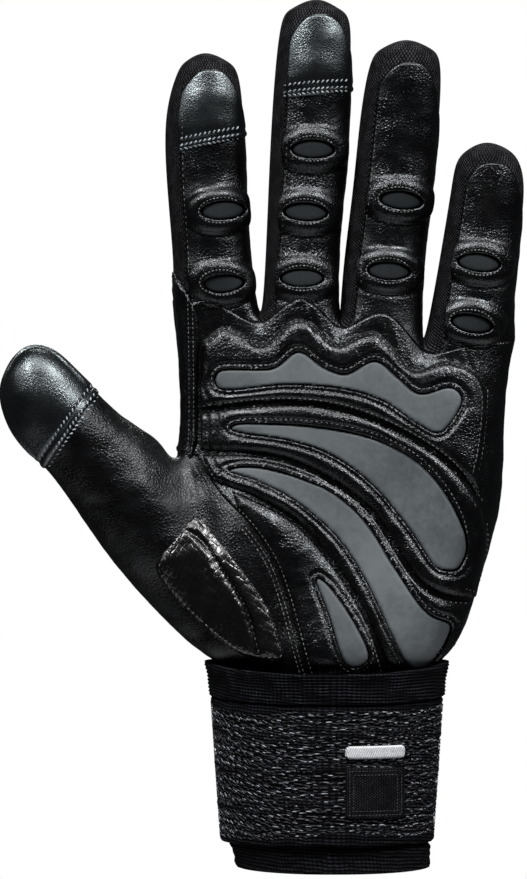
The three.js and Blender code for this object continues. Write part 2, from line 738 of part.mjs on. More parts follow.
// Padded leather between the seams, with a grip inlay set in each pad's window.
function addPads() {
  const seam = (name) => smooth(SEAMS[name], false, LONG_SEAM_STEP);
  const regions = {
    wave: [...smooth(SEAMS.wave, false, SEAM_STEP), ...seam('first').reverse()],
    upper: [...seam('first'), ...SEAMS.heelUpper, ...seam('second').reverse()],
    lower: [...seam('second'), ...SEAMS.heelLower, ...seam('third').reverse()],
    drop: [...seam('third').slice(1), ...seam('thumb').reverse().slice(0, -2)],
  };
  const wrapRoom = wrapBand(WRAP_BANDS.hem, { wall: ON_SLEEVE + HEM_WALL + JOIN_GAP, above: LAYER_GAP });
  const padLayer = panel(['palm'], JOIN_GAP, PAD_RISE, { coarseOutside: true }).subtract(wrapRoom);
  const gripLayer = panel(['palm'], JOIN_GAP, GRIP_RISE, { coarseOutside: true }).subtract(wrapRoom);
  Object.entries(regions).forEach(([name, region]) => {
    const window = smooth(GRIPS[name], true, OUTLINE_STEP);
    const pad = padLayer.intersect(prism(inset(region, PAD_GROOVE / 2), -CUTTER_REACH, 0));
    add('pad_' + name, largest(pad.subtract(prism(window, -CUTTER_REACH, 0))), 'leather');
    const grip = gripLayer.intersect(prism(inset(window, JOIN_GAP), -CUTTER_REACH, 0));
    add('grip_' + name, largest(grip), 'grip');
  });
}

// Patches sewn on the thumb's ball, the index finger's side and the fingertips.
function addPatches() {
  const layer = panel(['palm', 'thumb'], JOIN_GAP, PATCH_RISE);
  const thenar = prism(smooth(PATCHES.thenar, true, OUTLINE_STEP));
  add('thenar_patch', largest(layer.intersect(thenar)), 'scaleLeather');
  const palmLayer = panel(['palm'], JOIN_GAP, STRIP_RISE);
  add('index_side_strip', largest(palmLayer.intersect(prism(PATCHES.strip))), 'leather');
  TOUCH_TIPS.forEach(({ finger, low, high, left, right, rise }) => {
    const outline = [[left, low], [right, low + rise], [right, high], [left, high]];
    const tip = panel([finger + '_leather'], JOIN_GAP, PATCH_RISE).intersect(prism(outline));
    add(finger + '_touch_tip', largest(tip), 'touchLeather');
  });
  const { from, to } = THUMB_CAP_LINE;
  const beyond = [from, [from[0], 170], [-120, 170], [-120, to[1]], to];
  const cap = panel(['thumb'], JOIN_GAP, PATCH_RISE).intersect(prism(beyond));
  add('thumb_touch_cap', largest(cap), 'touchLeather');
}

// A wall round the wrist through the given rows. An open turn starts and ends with
// flat ends and may ride up over its own start.
function wrapBand(rows, { wall, start = 0, sweep = 360, lift = 0, liftOf = () => 0, above = 0 }) {
  const closed = sweep === 360;
  const count = Math.round(sweep / STRAP_TURN.step) + (closed ? 0 : 1);
  const loop = 2 * rows.length;
  const vertices = [];
  const place = (angle, row, out) => {
    const cosine = Math.cos(angle);
    const sine = Math.sin(angle);
    const power = 2 / CROWN_POWER;
    const wide = row.half + out;
    const deep = row.half * WRIST_RATIO + out;
    const top = row === rows[rows.length - 1] ? above : 0;
    vertices.push(WRIST_MIDDLE_X + (row.shift || 0) + wide * Math.sign(cosine) * Math.abs(cosine) ** power);
    vertices.push(deep * Math.sign(sine) * Math.abs(sine) ** power);
    vertices.push(row.z - row.dip * Math.max(0, -sine) ** DIP_POWER + top);
  };
  for (let i = 0; i < count; i += 1) {
    const degrees = start + sweep * i / (closed ? count : count - 1);
    const angle = THREE.MathUtils.degToRad(degrees);
    const raised = lift + liftOf(degrees);
    rows.forEach((row) => place(angle, row, raised + wall));
    [...rows].reverse().forEach((row) => place(angle, row, raised));
  }
  const triangles = [];
  const bands = closed ? count : count - 1;
  for (let i = 0; i < bands; i += 1) {
    for (let j = 0; j < loop; j += 1) {
      const a = i * loop + j;
      const b = ((i + 1) % count) * loop + j;
      const c = ((i + 1) % count) * loop + (j + 1) % loop;
      const d = i * loop + (j + 1) % loop;
      triangles.push(a, b, c, a, c, d);
    }
  }
  if (!closed) {
    const last = (count - 1) * loop;
    for (let j = 0; j < rows.length - 1; j += 1) {
      const mate = loop - 1 - j;
      triangles.push(j, j + 1, mate - 1, j, mate - 1, mate);
      triangles.push(last + j, last + mate - 1, last + j + 1, last + j, last + mate, last + mate - 1);
    }
  }
  return solid(vertices, triangles);
}

// The wrist wrap: an inner turn, an outer turn that laps over its start at the back,
// its top hem, the closing tab and two plain woven marks on the front.
function addWrap() {
  add('wrap_sleeve', wrapBand(WRAP_BANDS.sleeve, { wall: SLEEVE_WALL }), 'elastic');
  const { start, overlap, ramp } = STRAP_TURN;
  const full = STRAP_WALL + LAYER_GAP;
  const liftOf = (degrees) => {
    const along = THREE.MathUtils.clamp((degrees - start - 360 + ramp) / ramp, 0, 1);
    return full * along;
  };
  const strap = wrapBand(WRAP_BANDS.strap, {
    wall: STRAP_WALL, start, sweep: 360 + overlap, lift: ON_SLEEVE, liftOf,
  });
  add('wrap_strap', strap, 'elastic');
  add('wrap_top_hem', wrapBand(WRAP_BANDS.hem, { wall: HEM_WALL, lift: ON_SLEEVE }), 'elastic');
  const tabLift = ON_SLEEVE + 2 * full;
  const tabRows = WRAP_BANDS.strap.slice(1);
  add('wrap_tab', wrapBand(tabRows, { ...TAB_TURN, wall: TAB_WALL, lift: tabLift }), 'elastic');
  MARKS.forEach(({ name, left, right, low, high, rise, finish }) => {
    const lift = ON_SLEEVE + STRAP_WALL + JOIN_GAP;
    const outline = [[left, low], [right, low], [right, high], [left, high]];
    const front = wrapBand(WRAP_BANDS.strap, { wall: rise, lift });
    add(name, largest(front.intersect(prism(outline, -CUTTER_REACH, 0))), finish);
  });
}

addFingers();
addHand();
addPads();
addPatches();
addWrap();
group.position.z = -WRIST_OPENING_Z;

export default group;
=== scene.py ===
"""Weightlifting glove for the left hand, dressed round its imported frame.

The tables are in millimetres, with z measured from the lowest point of the wrist wrap.
The palm faces -Y, the fingertips point up +Z and the thumb is at -X. A finished mesh is in
metres, in the frame whose origin is the middle of the wrist opening.

Fields of the classes are in millimetres too. One that ends in _at holds a ridge's middle and
width, one that ends in _step holds where a smooth step starts and ends, and one that ends in
_creases holds the size, the height and the place in the noise of a layer of soft creases.
"""

import logging
import math
import random
from dataclasses import dataclass, field
from enum import Enum
from typing import Callable, Iterable, Sequence

import bpy
import numpy as np
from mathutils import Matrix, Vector, noise
from mathutils.bvhtree import BVHTree
from mathutils.interpolate import poly_3d_calc

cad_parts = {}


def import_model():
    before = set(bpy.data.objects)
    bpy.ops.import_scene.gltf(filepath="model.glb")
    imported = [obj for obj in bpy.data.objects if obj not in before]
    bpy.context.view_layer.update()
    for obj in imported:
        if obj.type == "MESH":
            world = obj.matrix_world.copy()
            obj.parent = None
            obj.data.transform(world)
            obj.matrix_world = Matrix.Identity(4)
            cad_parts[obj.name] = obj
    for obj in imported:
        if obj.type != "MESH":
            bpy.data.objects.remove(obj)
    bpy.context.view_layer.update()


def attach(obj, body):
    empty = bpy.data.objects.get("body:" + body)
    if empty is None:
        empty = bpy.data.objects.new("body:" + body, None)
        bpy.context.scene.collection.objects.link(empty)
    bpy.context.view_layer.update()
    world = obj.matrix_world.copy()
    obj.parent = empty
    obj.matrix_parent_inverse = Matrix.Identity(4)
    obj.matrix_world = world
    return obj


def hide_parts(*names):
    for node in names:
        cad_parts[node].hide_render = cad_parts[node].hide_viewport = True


LOG = logging.getLogger("glove")
BODY = "root"
MM = 0.001
WRIST_OPENING_Z = 3.2
RAY_START_Y = -100.0
CROWN_POWER = 2.3
FIT_ROUNDS = 10
COLUMNS = (0.035, 0.115, 0.25, 0.375, 0.487, 0.615, 0.73, 0.85, 0.925)
FINGER_SIDES = 8
CURVE_PARTS = 16
NO_PLACE = -1
FAR = 1e9
TINY = 1e-9
INSERT_SEAM = 0.95
WINDOW_GAP = 0.1
CRISP_DEGREES = 60
CELL_ROW_TURN = 0.6
CELL_ROW_SQUASH = 0.87
CELL_SCATTER = 0.4
SIDE_TO_FRONT = (0.12, 0.55)

Points = Sequence[Sequence[float]]
Array = np.ndarray
Distance = Callable[[Array, Array], Array]
Socket = bpy.types.NodeSocket
Material = bpy.types.Material
Pair = tuple[float, float]
Triple = tuple[float, float, float]


@dataclass(frozen=True)
class PalmRow:
    """A section of the palm: z, sides, depths, bulges, the tilt of its line and the thumb's fill."""

    z: float
    left: float
    right: float
    front: float
    back: float
    thenar: float
    heel: float
    tilt: float
    fill: float


@dataclass(frozen=True)
class FingerRow:
    """A section of a finger: z, sides, the middle's y and half the thickness."""

    z: float
    left: float
    right: float
    y: float
    depth: float

    @property
    def middle(self) -> float:
        """The x of its middle."""
        return (self.left + self.right) / 2

    @property
    def half(self) -> float:
        """Half its width."""
        return (self.right - self.left) / 2


@dataclass(frozen=True)
class ThumbRow:
    """A section of the thumb on its own axes: s along it, c across it."""

    low_s: float
    high_s: float
    low_c: float
    high_c: float
    y: float
    depth: float


PALM_ROWS = (
    PalmRow(54, -29.7, 27.9, 20.2, 20.2, 0, 0, 0, 0),
    PalmRow(60, -30.4, 28.6, 20.6, 20.6, 0, 0, 0, 0),
    PalmRow(68, -40.5, 36, 21, 20.5, 2, 1, 0, 0.55),
    PalmRow(86, -40, 42.6, 17, 18.5, 6.5, 3, 0, 0.85),
    PalmRow(104, -41, 47.5, 14.5, 17, 6, 4, 0, 0.8),
    PalmRow(121, -43.5, 49.1, 14, 16, 1.5, 3.5, 0, 0.5),
    PalmRow(142, -42.6, 50, 13.8, 14.5, 0, 1, -3, 0),
)
THENAR = (0.17, 0.16)
HEEL = (0.85, 0.14)
ROOT_LEFT = -44.6
ROOT_RIGHT = 52.3
ROOT_DEPTH = 12.0
ROOT_FILL = 0.72
ROOT_SIDE_Z = (165.0, 153.5)
ROOT_HEIGHTS = (163.5, 164.5, 158.5, 165, 157, 161, 150.5, 151.5, 152.5)
WEB_COLUMNS = (2, 4, 6)
WEB_THINNING = 0.82
WEB_BACK_RISE = 2.0
WEBS = ((-20.2, 161.5), (2.5, 160.5), (26.2, 154.5))
FINGER_ROWS = {
    "index": (
        FingerRow(177, -45, -22.8, -0.5, 10.8),
        FingerRow(198, -46.6, -24.1, -1.6, 10),
        FingerRow(217, -46.8, -24.7, -3, 9.2),
        FingerRow(229, -43.9, -26.2, -3.7, 7.2),
        FingerRow(233.1, -41, -29.4, -4.2, 4.5),
    ),
    "middle": (
        FingerRow(178, -18.5, 2.4, -0.5, 10.8),
        FingerRow(203, -17.4, 4.5, -1.7, 10),
        FingerRow(226, -16.1, 5.6, -3.4, 9.2),
        FingerRow(243, -14.1, 5.7, -4.2, 7.3),
        FingerRow(248.1, -10.8, 2.3, -4.8, 4.6),
    ),
    "ring": (
        FingerRow(174, 3.7, 26.6, -0.5, 10.5),
        FingerRow(196, 6.3, 29, -1.7, 9.7),
        FingerRow(217, 8.5, 31.1, -3.2, 8.9),
        FingerRow(232, 11.3, 31.3, -4.6, 7.6),
        FingerRow(236.8, 15, 28.2, -5.2, 4.6),
    ),
    "little": (
        FingerRow(164, 28.9, 52.3, -0.3, 10.3),
        FingerRow(181, 31.9, 54, -1.2, 9.3),
        FingerRow(196, 34.3, 55.3, -2.5, 8.5),
        FingerRow(204.2, 36, 53.9, -3.4, 7.2),
        FingerRow(208, 39.3, 50.5, -3.9, 4.4),
    ),
}
FINGER_TIPS = {
    "index": (-35.5, -5.2, 235.4),
    "middle": (-4, -6, 250.6),
    "ring": (21.6, -5.5, 239.1),
    "little": (44.7, -4.2, 210),
}
THUMB_ROWS = (
    ThumbRow(97, 121, 19.8, 53.4, -4, 16.5),
    ThumbRow(112, 128, 21.4, 52.8, -6.5, 14),
    ThumbRow(125, 136, 23.8, 51.4, -8.5, 12.3),
    ThumbRow(138, 144, 25.9, 51.1, -10.2, 11.6),
    ThumbRow(150, 152, 26.6, 51.2, -11.6, 11),
    ThumbRow(158.8, 161.4, 29.1, 50.6, -12.6, 9.2),
    ThumbRow(164.4, 166.4, 33.4, 47.4, -13.2, 5.6),
)
THUMB_TIP = (167.6, 40.8, -13.6)
THUMB_ANGLES = (160, 112, 70, 32, 355, 322, 285, 255, 225, 192)
THUMB_ROOT_ROWS = (2, 5)

SEAMS = {
    "wave": (
        (-37, 153), (-31, 157.7), (-26, 156.5), (-19.3, 153), (-13, 158.2), (-9.1, 159.9),
        (-5, 158.6), (1.7, 153), (8, 155.6), (13, 156.2), (18.5, 151), (23.6, 145.1), (32.5, 148),
        (40, 145.3), (44, 137.7), (43, 124), (41.4, 116),
    ),
    "first": (
        (-37, 133.4), (-22, 135.3), (-9, 135.6), (3, 134), (15, 129.8), (28, 122.7), (36, 115.8),
        (41.8, 107.5),
    ),
    "second": (
        (-36.9, 121.5), (-24, 121.3), (-12, 119.3), (0, 113.7), (11, 105.4), (18, 95), (24, 86),
        (31, 81.3), (40, 79.9),
    ),
    "third": ((-34, 113.1), (-22, 108.8), (-10, 102), (0, 91.2), (8.6, 78), (13, 67.5), (15.2, 60.5)),
    "thumb": ((-37.4, 119.7), (-31, 109.7), (-22, 99.8), (-16, 90.5), (-12, 79.4), (-8, 64.6), (-6, 58)),
    "heel_upper": ((43.7, 101.1), (44, 96), (42.9, 89.1), (40.8, 81)),
    "heel_lower": ((39.3, 78), (34.9, 67.4), (30.3, 62.2), (26.9, 60.3)),
}
BEYOND_THUMB = ((-6, 40), (-120, 40), (-120, 170), (-60, 170), (-43.6, 121.5), (-40, 121.5))
GRIPS = {
    "wave": (
        (-31.1, 144.7), (-20, 144.9), (-15, 145.8), (-8.9, 150.1), (-2, 145.6), (4.5, 143.8),
        (12.5, 147.5), (18.6, 143), (25, 138.2), (33.5, 139.9), (36.9, 136.2), (33.1, 129.1),
        (29.4, 127), (23, 130.6), (14.9, 136), (4, 139.4), (-12, 140.7), (-30, 139.3),
    ),
    "upper": (
        (-28, 128.2), (-25.5, 129.7), (-17, 129.8), (-4.9, 129.1), (6, 127.3), (15.4, 124.3),
        (24, 119.4), (31, 112), (36, 102.9), (37.4, 95), (35.3, 89.4), (32.3, 88.2), (28.5, 90.3),
        (22, 100.3), (12, 112.3), (0, 121), (-12, 125), (-24, 126.8),
    ),
    "lower": (
        (-28.7, 116.3), (-25, 117.3), (-18, 116.9), (-8, 114.1), (1, 110), (10, 101.7), (18, 89.1),
        (24, 79.7), (28, 75.8), (32.6, 73.6), (31.3, 68.5), (27, 62.5), (24, 61), (20.5, 63), (16, 72),
        (10, 85), (2, 97.3), (-8.6, 106.6), (-20, 113), (-27, 115.3),
    ),
    "drop": (
        (-3.7, 86.3), (0, 83.2), (5.7, 75.1), (9.8, 67.2), (10.2, 63.4), (7, 61.2), (4, 62.4),
        (1.7, 67.5), (-1, 76.6), (-4.3, 84.9),
    ),
}
THENAR_PATCH = (
    (-38, 103.6), (-43.5, 97.5), (-49.2, 90), (-46, 83), (-37, 73.5), (-25.5, 65), (-14, 63.4),
    (-14.5, 69.5), (-17.8, 78), (-22.3, 85), (-27.4, 91.7), (-33, 98.6),
)
THENAR_DIVIDER = ((-41.5, 100), (-35.2, 95.5), (-29.7, 87.5), (-24.9, 79.8), (-22.6, 74), (-20.4, 66))
SIDE_STRIP = (
    (-47.5, 174.2), (-44.8, 173.2), (-42.6, 170.8), (-40.6, 167.6), (-38.8, 163.6), (-37.4, 159.2),
    (-37.1, 153.7), (-37.4, 125.2), (-38.3, 121), (-40, 119.4), (-43.4, 120.4), (-47.5, 121.5),
)


@dataclass(frozen=True)
class Oval:
    """An oval in the front view: its middle, half its two lengths and its turn in degrees."""

    x: float
    z: float
    turn: float = 0.0
    half_long: float = 5.3
    half_short: float = 2.6

    def distance(self, x: Array, z: Array) -> Array:
        """Signed distance to the oval's edge, negative inside.

        Args:
            x: the x of each point.
            z: the z of each point.

        Returns:
            The distances.
        """
        turn = math.radians(self.turn)
        dx, dz = x - self.x, z - self.z
        along = dx * math.cos(turn) + dz * math.sin(turn)
        across = dz * math.cos(turn) - dx * math.sin(turn)
        near = np.hypot(along / self.half_long, across / self.half_short) + 1e-6
        slope = np.hypot(along / self.half_long**2, across / self.half_short**2) + 1e-6
        return near * (near - 1) / slope

    def placed(self, along: Array, across: Array) -> tuple[Array, Array]:
        """x and z of places given on the oval's own axes.

        Args:
            along: their distances from its middle along it.
            across: their distances from its middle across it.

        Returns:
            Their x and their z.
        """
        turn = math.radians(self.turn)
        x = self.x + along * math.cos(turn) - across * math.sin(turn)
        z = self.z + along * math.sin(turn) + across * math.cos(turn)
        return x, z

    def outline(self, grow: float, count: int) -> Array:
        """Points round the oval, moved out by a distance.

        Args:
            grow: the distance.
            count: how many points there are.

        Returns:
            Their x and z, one row each.
        """
        angles = np.linspace(0, 2 * math.pi, count, endpoint=False)
        along = (self.half_long + grow) * np.cos(angles)
        across = (self.half_short + grow) * np.sin(angles)
        return np.stack(self.placed(along, across), axis=1)


INSERTS = {
    "index": (Oval(-31.1, 190.1, 6), Oval(-30.8, 169.7, 0)),
    "middle": (Oval(-5.2, 207.5, 0), Oval(-7.1, 189.7, -2), Oval(-8.1, 170.9, 0)),
    "ring": (Oval(19.6, 193.1, -4), Oval(16.3, 173, -3)),
    "little": (Oval(42.1, 175.3, -6), Oval(39.9, 158.4, -8)),
}
ALL_INSERTS = tuple(oval for ovals in INSERTS.values() for oval in ovals)


def step_between(value: Array, low: float, high: float) -> Array:
    """A smooth step from 0 at low to 1 at high."""
    share = np.clip((value - low) / (high - low), 0, 1)
    return share * share * (3 - 2 * share)


def rounded_edge(inside: Array, width: float | Array) -> Array:
    """A quarter-round rise from 0 at an edge to 1 at a width inside it."""
    return np.sqrt(np.clip(1 - (1 - np.clip(inside / width, 0, 1)) ** 2, 0, 1))


def ridge(value: Array, middle: float, width: float) -> Array:
    """A soft ridge, 1 where the value is at its middle and falling off within a width."""
    return np.exp(-(((value - middle) / width) ** 2))


def wave(value: Array, pitch: float) -> Array:
    """A wave between -1 and 1 that repeats once a pitch."""
    return np.sin(2 * math.pi * value / pitch)


def between_rows(rows: Sequence, z: Array, size: str) -> Array:
    """A named size of a table of sections, blended between them at each z."""
    return np.interp(z, [row.z for row in rows], [getattr(row, size) for row in rows])


def grid_cells(width: int, height: int) -> Array:
    """The four corners of each cell of a grid of points that are numbered row by row."""
    corner = (np.arange(height - 1)[:, None] * width + np.arange(width - 1)[None]).ravel()
    return np.stack([corner, corner + 1, corner + width + 1, corner + width], axis=1)


def used_corners(faces: Sequence[Sequence[int]], count: int) -> tuple[Array, list[list[int]]]:
    """Leaves out the points that no face uses.

    Args:
        faces: the corners of each face.
        count: how many points there are.

    Returns:
        The numbers of the used points, and the faces with their corners numbered anew.
    """
    used = np.unique(np.concatenate([np.asarray(face) for face in faces]))
    renumbered = np.full(count, NO_PLACE)
    renumbered[used] = np.arange(len(used))
    return used, [renumbered[face].tolist() for face in faces]


def smooth_line(points: Points, step: float = 1.0, closed: bool = False) -> Array:
    """A smooth curve through points of the front view, resampled to equal steps.

    Args:
        points: x and z of the points that it runs through.
        step: the distance between the new points.
        closed: whether it ends where it starts.

    Returns:
        The new points, without the repeated one on a closed curve.
    """
    given = np.asarray(points, float)
    if closed:
        padded = np.vstack([given[-1], given, given[0], given[1]])
    else:
        padded = np.vstack([2 * given[0] - given[1], given, 2 * given[-1] - given[-2]])
    t = np.linspace(0, 1, CURVE_PARTS, endpoint=False)[:, None]
    spans = []
    for a, b, c, d in zip(padded, padded[1:], padded[2:], padded[3:]):
        spans.append(0.5 * (2 * b + (c - a) * t + (2 * a - 5 * b + 4 * c - d) * t**2
                            + (3 * b - a - 3 * c + d) * t**3))
    dense = np.vstack([*spans, padded[-2:-1]])
    return resampled(dense, step, closed)


def resampled(line: Array, step: float, closed: bool = False) -> Array:
    """The same line with points at about equal steps.

    Args:
        line: its points, one row each.
        step: the distance between the new points.
        closed: whether it ends where it starts.

    Returns:
        The new points, without the repeated one on a closed line.
    """
    lengths = np.concatenate([[0], np.cumsum(np.linalg.norm(np.diff(line, axis=0), axis=1))])
    count = max(2, round(lengths[-1] / step)) + 1
    places = np.linspace(0, lengths[-1], count)
    even = np.stack([np.interp(places, lengths, line[:, k]) for k in range(line.shape[1])], axis=1)
    return even[:-1] if closed else even


def beside(line: Array, distance: float) -> Array:
    """A line of the front view moved to its left by a distance.

    Args:
        line: its points, one row each.
        distance: the distance.

    Returns:
        The moved points.
    """
    ways = np.gradient(line, axis=0)
    ways /= np.linalg.norm(ways, axis=1)[:, None] + TINY
    return line + distance * np.stack([-ways[:, 1], ways[:, 0]], axis=1)


def line_distance(line: Array, x: Array, z: Array, closed: bool = False) -> Array:
    """Distance from each point to a line of the front view.

    Args:
        line: the line's points, one row each.
        x: the x of each point.
        z: the z of each point.
        closed: whether the line's last point joins its first.

    Returns:
        The distances.
    """
    ends = np.roll(line, -1, axis=0) if closed else line[1:]
    starts = line if closed else line[:-1]
    nearest = np.full(np.shape(x), FAR)
    for (ax, az), (bx, bz) in zip(starts, ends):
        dx, dz = bx - ax, bz - az
        share = np.clip(((x - ax) * dx + (z - az) * dz) / (dx * dx + dz * dz + TINY**2), 0, 1)
        nearest = np.minimum(nearest, (x - ax - share * dx) ** 2 + (z - az - share * dz) ** 2)
    return np.sqrt(nearest)


def region_distance(outline: Array, x: Array, z: Array) -> Array:
    """Signed distance to a closed outline of the front view, negative inside.

    Args:
        outline: the outline's points, one row each.
        x: the x of each point.
        z: the z of each point.

    Returns:
        The distances.
    """
    inside = np.zeros(np.shape(x), bool)
    for (ax, az), (bx, bz) in zip(outline, np.roll(outline, -1, axis=0)):
        if az != bz:
            inside ^= ((az > z) != (bz > z)) & (x < (bx - ax) * (z - az) / (bz - az) + ax)
    return np.where(inside, -1, 1) * line_distance(outline, x, z, closed=True)


class Cage:
    """Points on the glove's outer surface and the four-sided faces between them."""

    def __init__(self) -> None:
        """Starts with no points and no faces."""
        self.points: list[Triple] = []
        self.faces: list[tuple[int, ...]] = []
        self.panels: list[str] = []

    def point(self, x: float, y: float, z: float) -> int:
        """Adds a point and returns its number."""
        self.points.append((x, y, z))
        return len(self.points) - 1

    def face(self, corners: Sequence[int], panel: str) -> None:
        """Adds a face of a named panel."""
        self.faces.append(tuple(corners))
        self.panels.append(panel)

    def band(self, lower: Sequence[int], upper: Sequence[int], panel_of: Callable[[int], str]) -> None:
        """Joins two rings of points with a band of faces.

        Args:
            lower: the lower ring.
            upper: the upper ring.
            panel_of: gives a face's panel from its place.
        """
        for i, corner in enumerate(lower):
            after = (i + 1) % len(lower)
            self.face((corner, lower[after], upper[after], upper[i]), panel_of(i))

    def cap(self, ring: Sequence[int], tip: int, panel_of: Callable[[int], str]) -> None:
        """Closes a ring with faces that meet at a tip."""
        for i in range(0, len(ring), 2):
            self.face((ring[i], ring[i + 1], ring[(i + 2) % len(ring)], tip), panel_of(i))


@dataclass
class PalmRing:
    """The points of one palm section: front from left to right, right side, back and left side."""

    front: list[int]
    right: int
    back: list[int]
    left: int


class GloveForm:
    """The smooth outer surface of the whole glove, grown from the tables of sections."""

    def __init__(self) -> None:
        """Grows the palm, the fingers and the thumb, and fits the smooth surface to them."""
        self.cage = Cage()
        rings = [self.palm_ring(row) for row in PALM_ROWS]
        rings.append(self.root_ring())
        first, last = THUMB_ROOT_ROWS
        for i, (lower, upper) in enumerate(zip(rings, rings[1:])):
            self.palm_band(lower, upper, first <= i < last)
        self.grow_fingers(rings[-1])
        self.grow_thumb(rings[first:last + 1])
        self.panels = sorted(set(self.cage.panels))
        self.source = self.fitted_source()

    @staticmethod
    def crown(u: float, fill: float) -> float:
        """The depth of a section at a share of its width."""
        rounded = (1 - abs(2 * u - 1) ** CROWN_POWER) ** (1 / CROWN_POWER)
        return max(rounded, fill) if u < 0.5 else rounded

    @staticmethod
    def bell(u: float, hump: Pair) -> float:
        """A hump's share at a share of the width."""
        at, spread = hump
        return math.exp(-(((u - at) / spread) ** 2))

    def palm_ring(self, row: PalmRow) -> PalmRing:
        """The points of one palm section.

        Args:
            row: the section.

        Returns:
            Its points.
        """
        width = row.right - row.left

        def height(u: float) -> float:
            """The level of the section's line at a share of its width."""
            return row.z + row.tilt * (u - 0.5)

        def front_depth(u: float) -> float:
            """The palm's depth at a share of its width, with its two bulges."""
            return (row.front * self.crown(u, row.fill) + row.thenar * self.bell(u, THENAR)
                    + row.heel * self.bell(u, HEEL))

        front = [self.cage.point(row.left + width * u, -front_depth(u), height(u)) for u in COLUMNS]
        right = self.cage.point(row.right, 0, height(1))
        back = [self.cage.point(row.left + width * u, row.back * self.crown(u, row.fill), height(u))
                for u in COLUMNS]
        left = self.cage.point(row.left, 0, height(0))
        return PalmRing(front, right, back, left)

    def root_ring(self) -> PalmRing:
        """The points of the finger roots."""
        width = ROOT_RIGHT - ROOT_LEFT

        def side(sign: int) -> list[int]:
            """The points of the front, for -1, or of the back, for 1.

            Args:
                sign: which of the two.

            Returns:
                Their numbers.
            """
            made = []
            for i, u in enumerate(COLUMNS):
                web = i in WEB_COLUMNS
                depth = ROOT_DEPTH * self.crown(u, ROOT_FILL) * (WEB_THINNING if web else 1)
                rise = WEB_BACK_RISE if sign > 0 and web else 0
                made.append(self.cage.point(ROOT_LEFT + width * u, sign * depth, ROOT_HEIGHTS[i] + rise))
            return made

        front = side(-1)
        right = self.cage.point(ROOT_RIGHT, 0, ROOT_SIDE_Z[1])
        back = side(1)
        left = self.cage.point(ROOT_LEFT, 0, ROOT_SIDE_Z[0])
        return PalmRing(front, right, back, left)

    def palm_band(self, lower: PalmRing, upper: PalmRing, open_left: bool) -> None:
        """Faces between two palm sections.

        Args:
            lower: the points of the lower section.
            upper: the points of the upper section.
            open_left: whether the left side stays open for the thumb's root.
        """
        for i in range(len(COLUMNS) - 1):
            self.cage.face((lower.front[i], lower.front[i + 1], upper.front[i + 1], upper.front[i]), "palm")
            self.cage.face((lower.back[i + 1], lower.back[i], upper.back[i], upper.back[i + 1]), "back")
        self.cage.face((lower.front[-1], lower.right, upper.right, upper.front[-1]), "back")
        self.cage.face((lower.right, lower.back[-1], upper.back[-1], upper.right), "back")
        if not open_left:
            self.cage.face((lower.left, lower.front[0], upper.front[0], upper.left), "palm")
            self.cage.face((lower.back[0], lower.left, upper.left, upper.back[0]), "back")

    def grow_fingers(self, top: PalmRing) -> None:
        """Grows each finger from eight points of the root, front middle first.

        Args:
            top: the points of the finger roots.
        """
        webs = [self.cage.point(x, 0, z) for x, z in WEBS]
        sides = [top.left, *webs, top.right]
        for k, (name, rows) in enumerate(FINGER_ROWS.items()):
            a = 2 * k
            lower = [top.front[a + 1], top.front[a + 2], sides[k + 1], top.back[a + 2],
                     top.back[a + 1], top.back[a], sides[k], top.front[a]]
            for j, row in enumerate(rows):
                ring = [self.finger_point(row, 2 * math.pi * i / FINGER_SIDES) for i in range(FINGER_SIDES)]
                front = (FINGER_SIDES - 1, 0, 1) if j < len(rows) - 1 else ()
                self.cage.band(lower, ring, lambda i: f"{name}_leather" if i in front else f"{name}_knit")
                lower = ring
            self.cage.cap(lower, self.cage.point(*FINGER_TIPS[name]), lambda _: f"{name}_knit")

    def finger_point(self, row: FingerRow, angle: float) -> int:
        """A point of a finger's section, its angle measured from the front."""
        x = row.middle + row.half * math.sin(angle)
        return self.cage.point(x, row.y - row.depth * math.cos(angle), row.z)

    def grow_thumb(self, root: Sequence[PalmRing]) -> None:
        """Grows the thumb from the ten points round the opening in the palm's left side.

        Args:
            root: the palm sections that the opening runs through, from the lowest.
        """
        lower = [root[0].front[0], root[1].front[0], root[2].front[0], root[3].front[0], root[3].left,
                 root[3].back[0], root[2].back[0], root[1].back[0], root[0].back[0], root[0].left]

        def panel_of(i: int) -> str:
            """The panel of a face, by its place round the thumb."""
            return "thumb" if i < 4 else "thumb_back"

        for row in THUMB_ROWS:
            ring = []
            for degrees in THUMB_ANGLES:
                angle = math.radians(degrees)
                up = (math.cos(angle) + 1) / 2
                s = row.low_s + (row.high_s - row.low_s) * up
                c = row.low_c + (row.high_c - row.low_c) * up
                ring.append(self.thumb_point(s, c, row.y - row.depth * math.sin(angle)))
            self.cage.band(lower, ring, panel_of)
            lower = ring
        self.cage.cap(lower, self.thumb_point(*THUMB_TIP), panel_of)

    def thumb_point(self, s: float, c: float, y: float) -> int:
        """A point given along and across the thumb."""
        return self.cage.point((c - s) / math.sqrt(2), y, (c + s) / math.sqrt(2))

    def fitted_source(self) -> bpy.types.Object:
        """The cage as a mesh, moved so that the smooth surface runs through the tables' points."""
        used = sorted({corner for face in self.cage.faces for corner in face})
        renumbered = {old: new for new, old in enumerate(used)}
        faces = [[renumbered[corner] for corner in face] for face in self.cage.faces]
        goals = np.array([self.cage.points[i] for i in used])
        mesh = bpy.data.meshes.new("glove_form")
        mesh.from_pydata(goals.tolist(), [], faces)
        panel = mesh.attributes.new("panel", "INT", "FACE")
        panel.data.foreach_set("value", [self.panels.index(name) for name in self.cage.panels])
        source = bpy.data.objects.new("glove_form", mesh)
        bpy.context.scene.collection.objects.link(source)
        source.modifiers.new("smooth", "SUBSURF")
        places = goals.copy()
        for _ in range(FIT_ROUNDS):
            reached = self.evaluated(source, 1)[0][:len(goals)]
            places += goals - reached
            mesh.vertices.foreach_set("co", places.ravel())
            mesh.update()
        return source

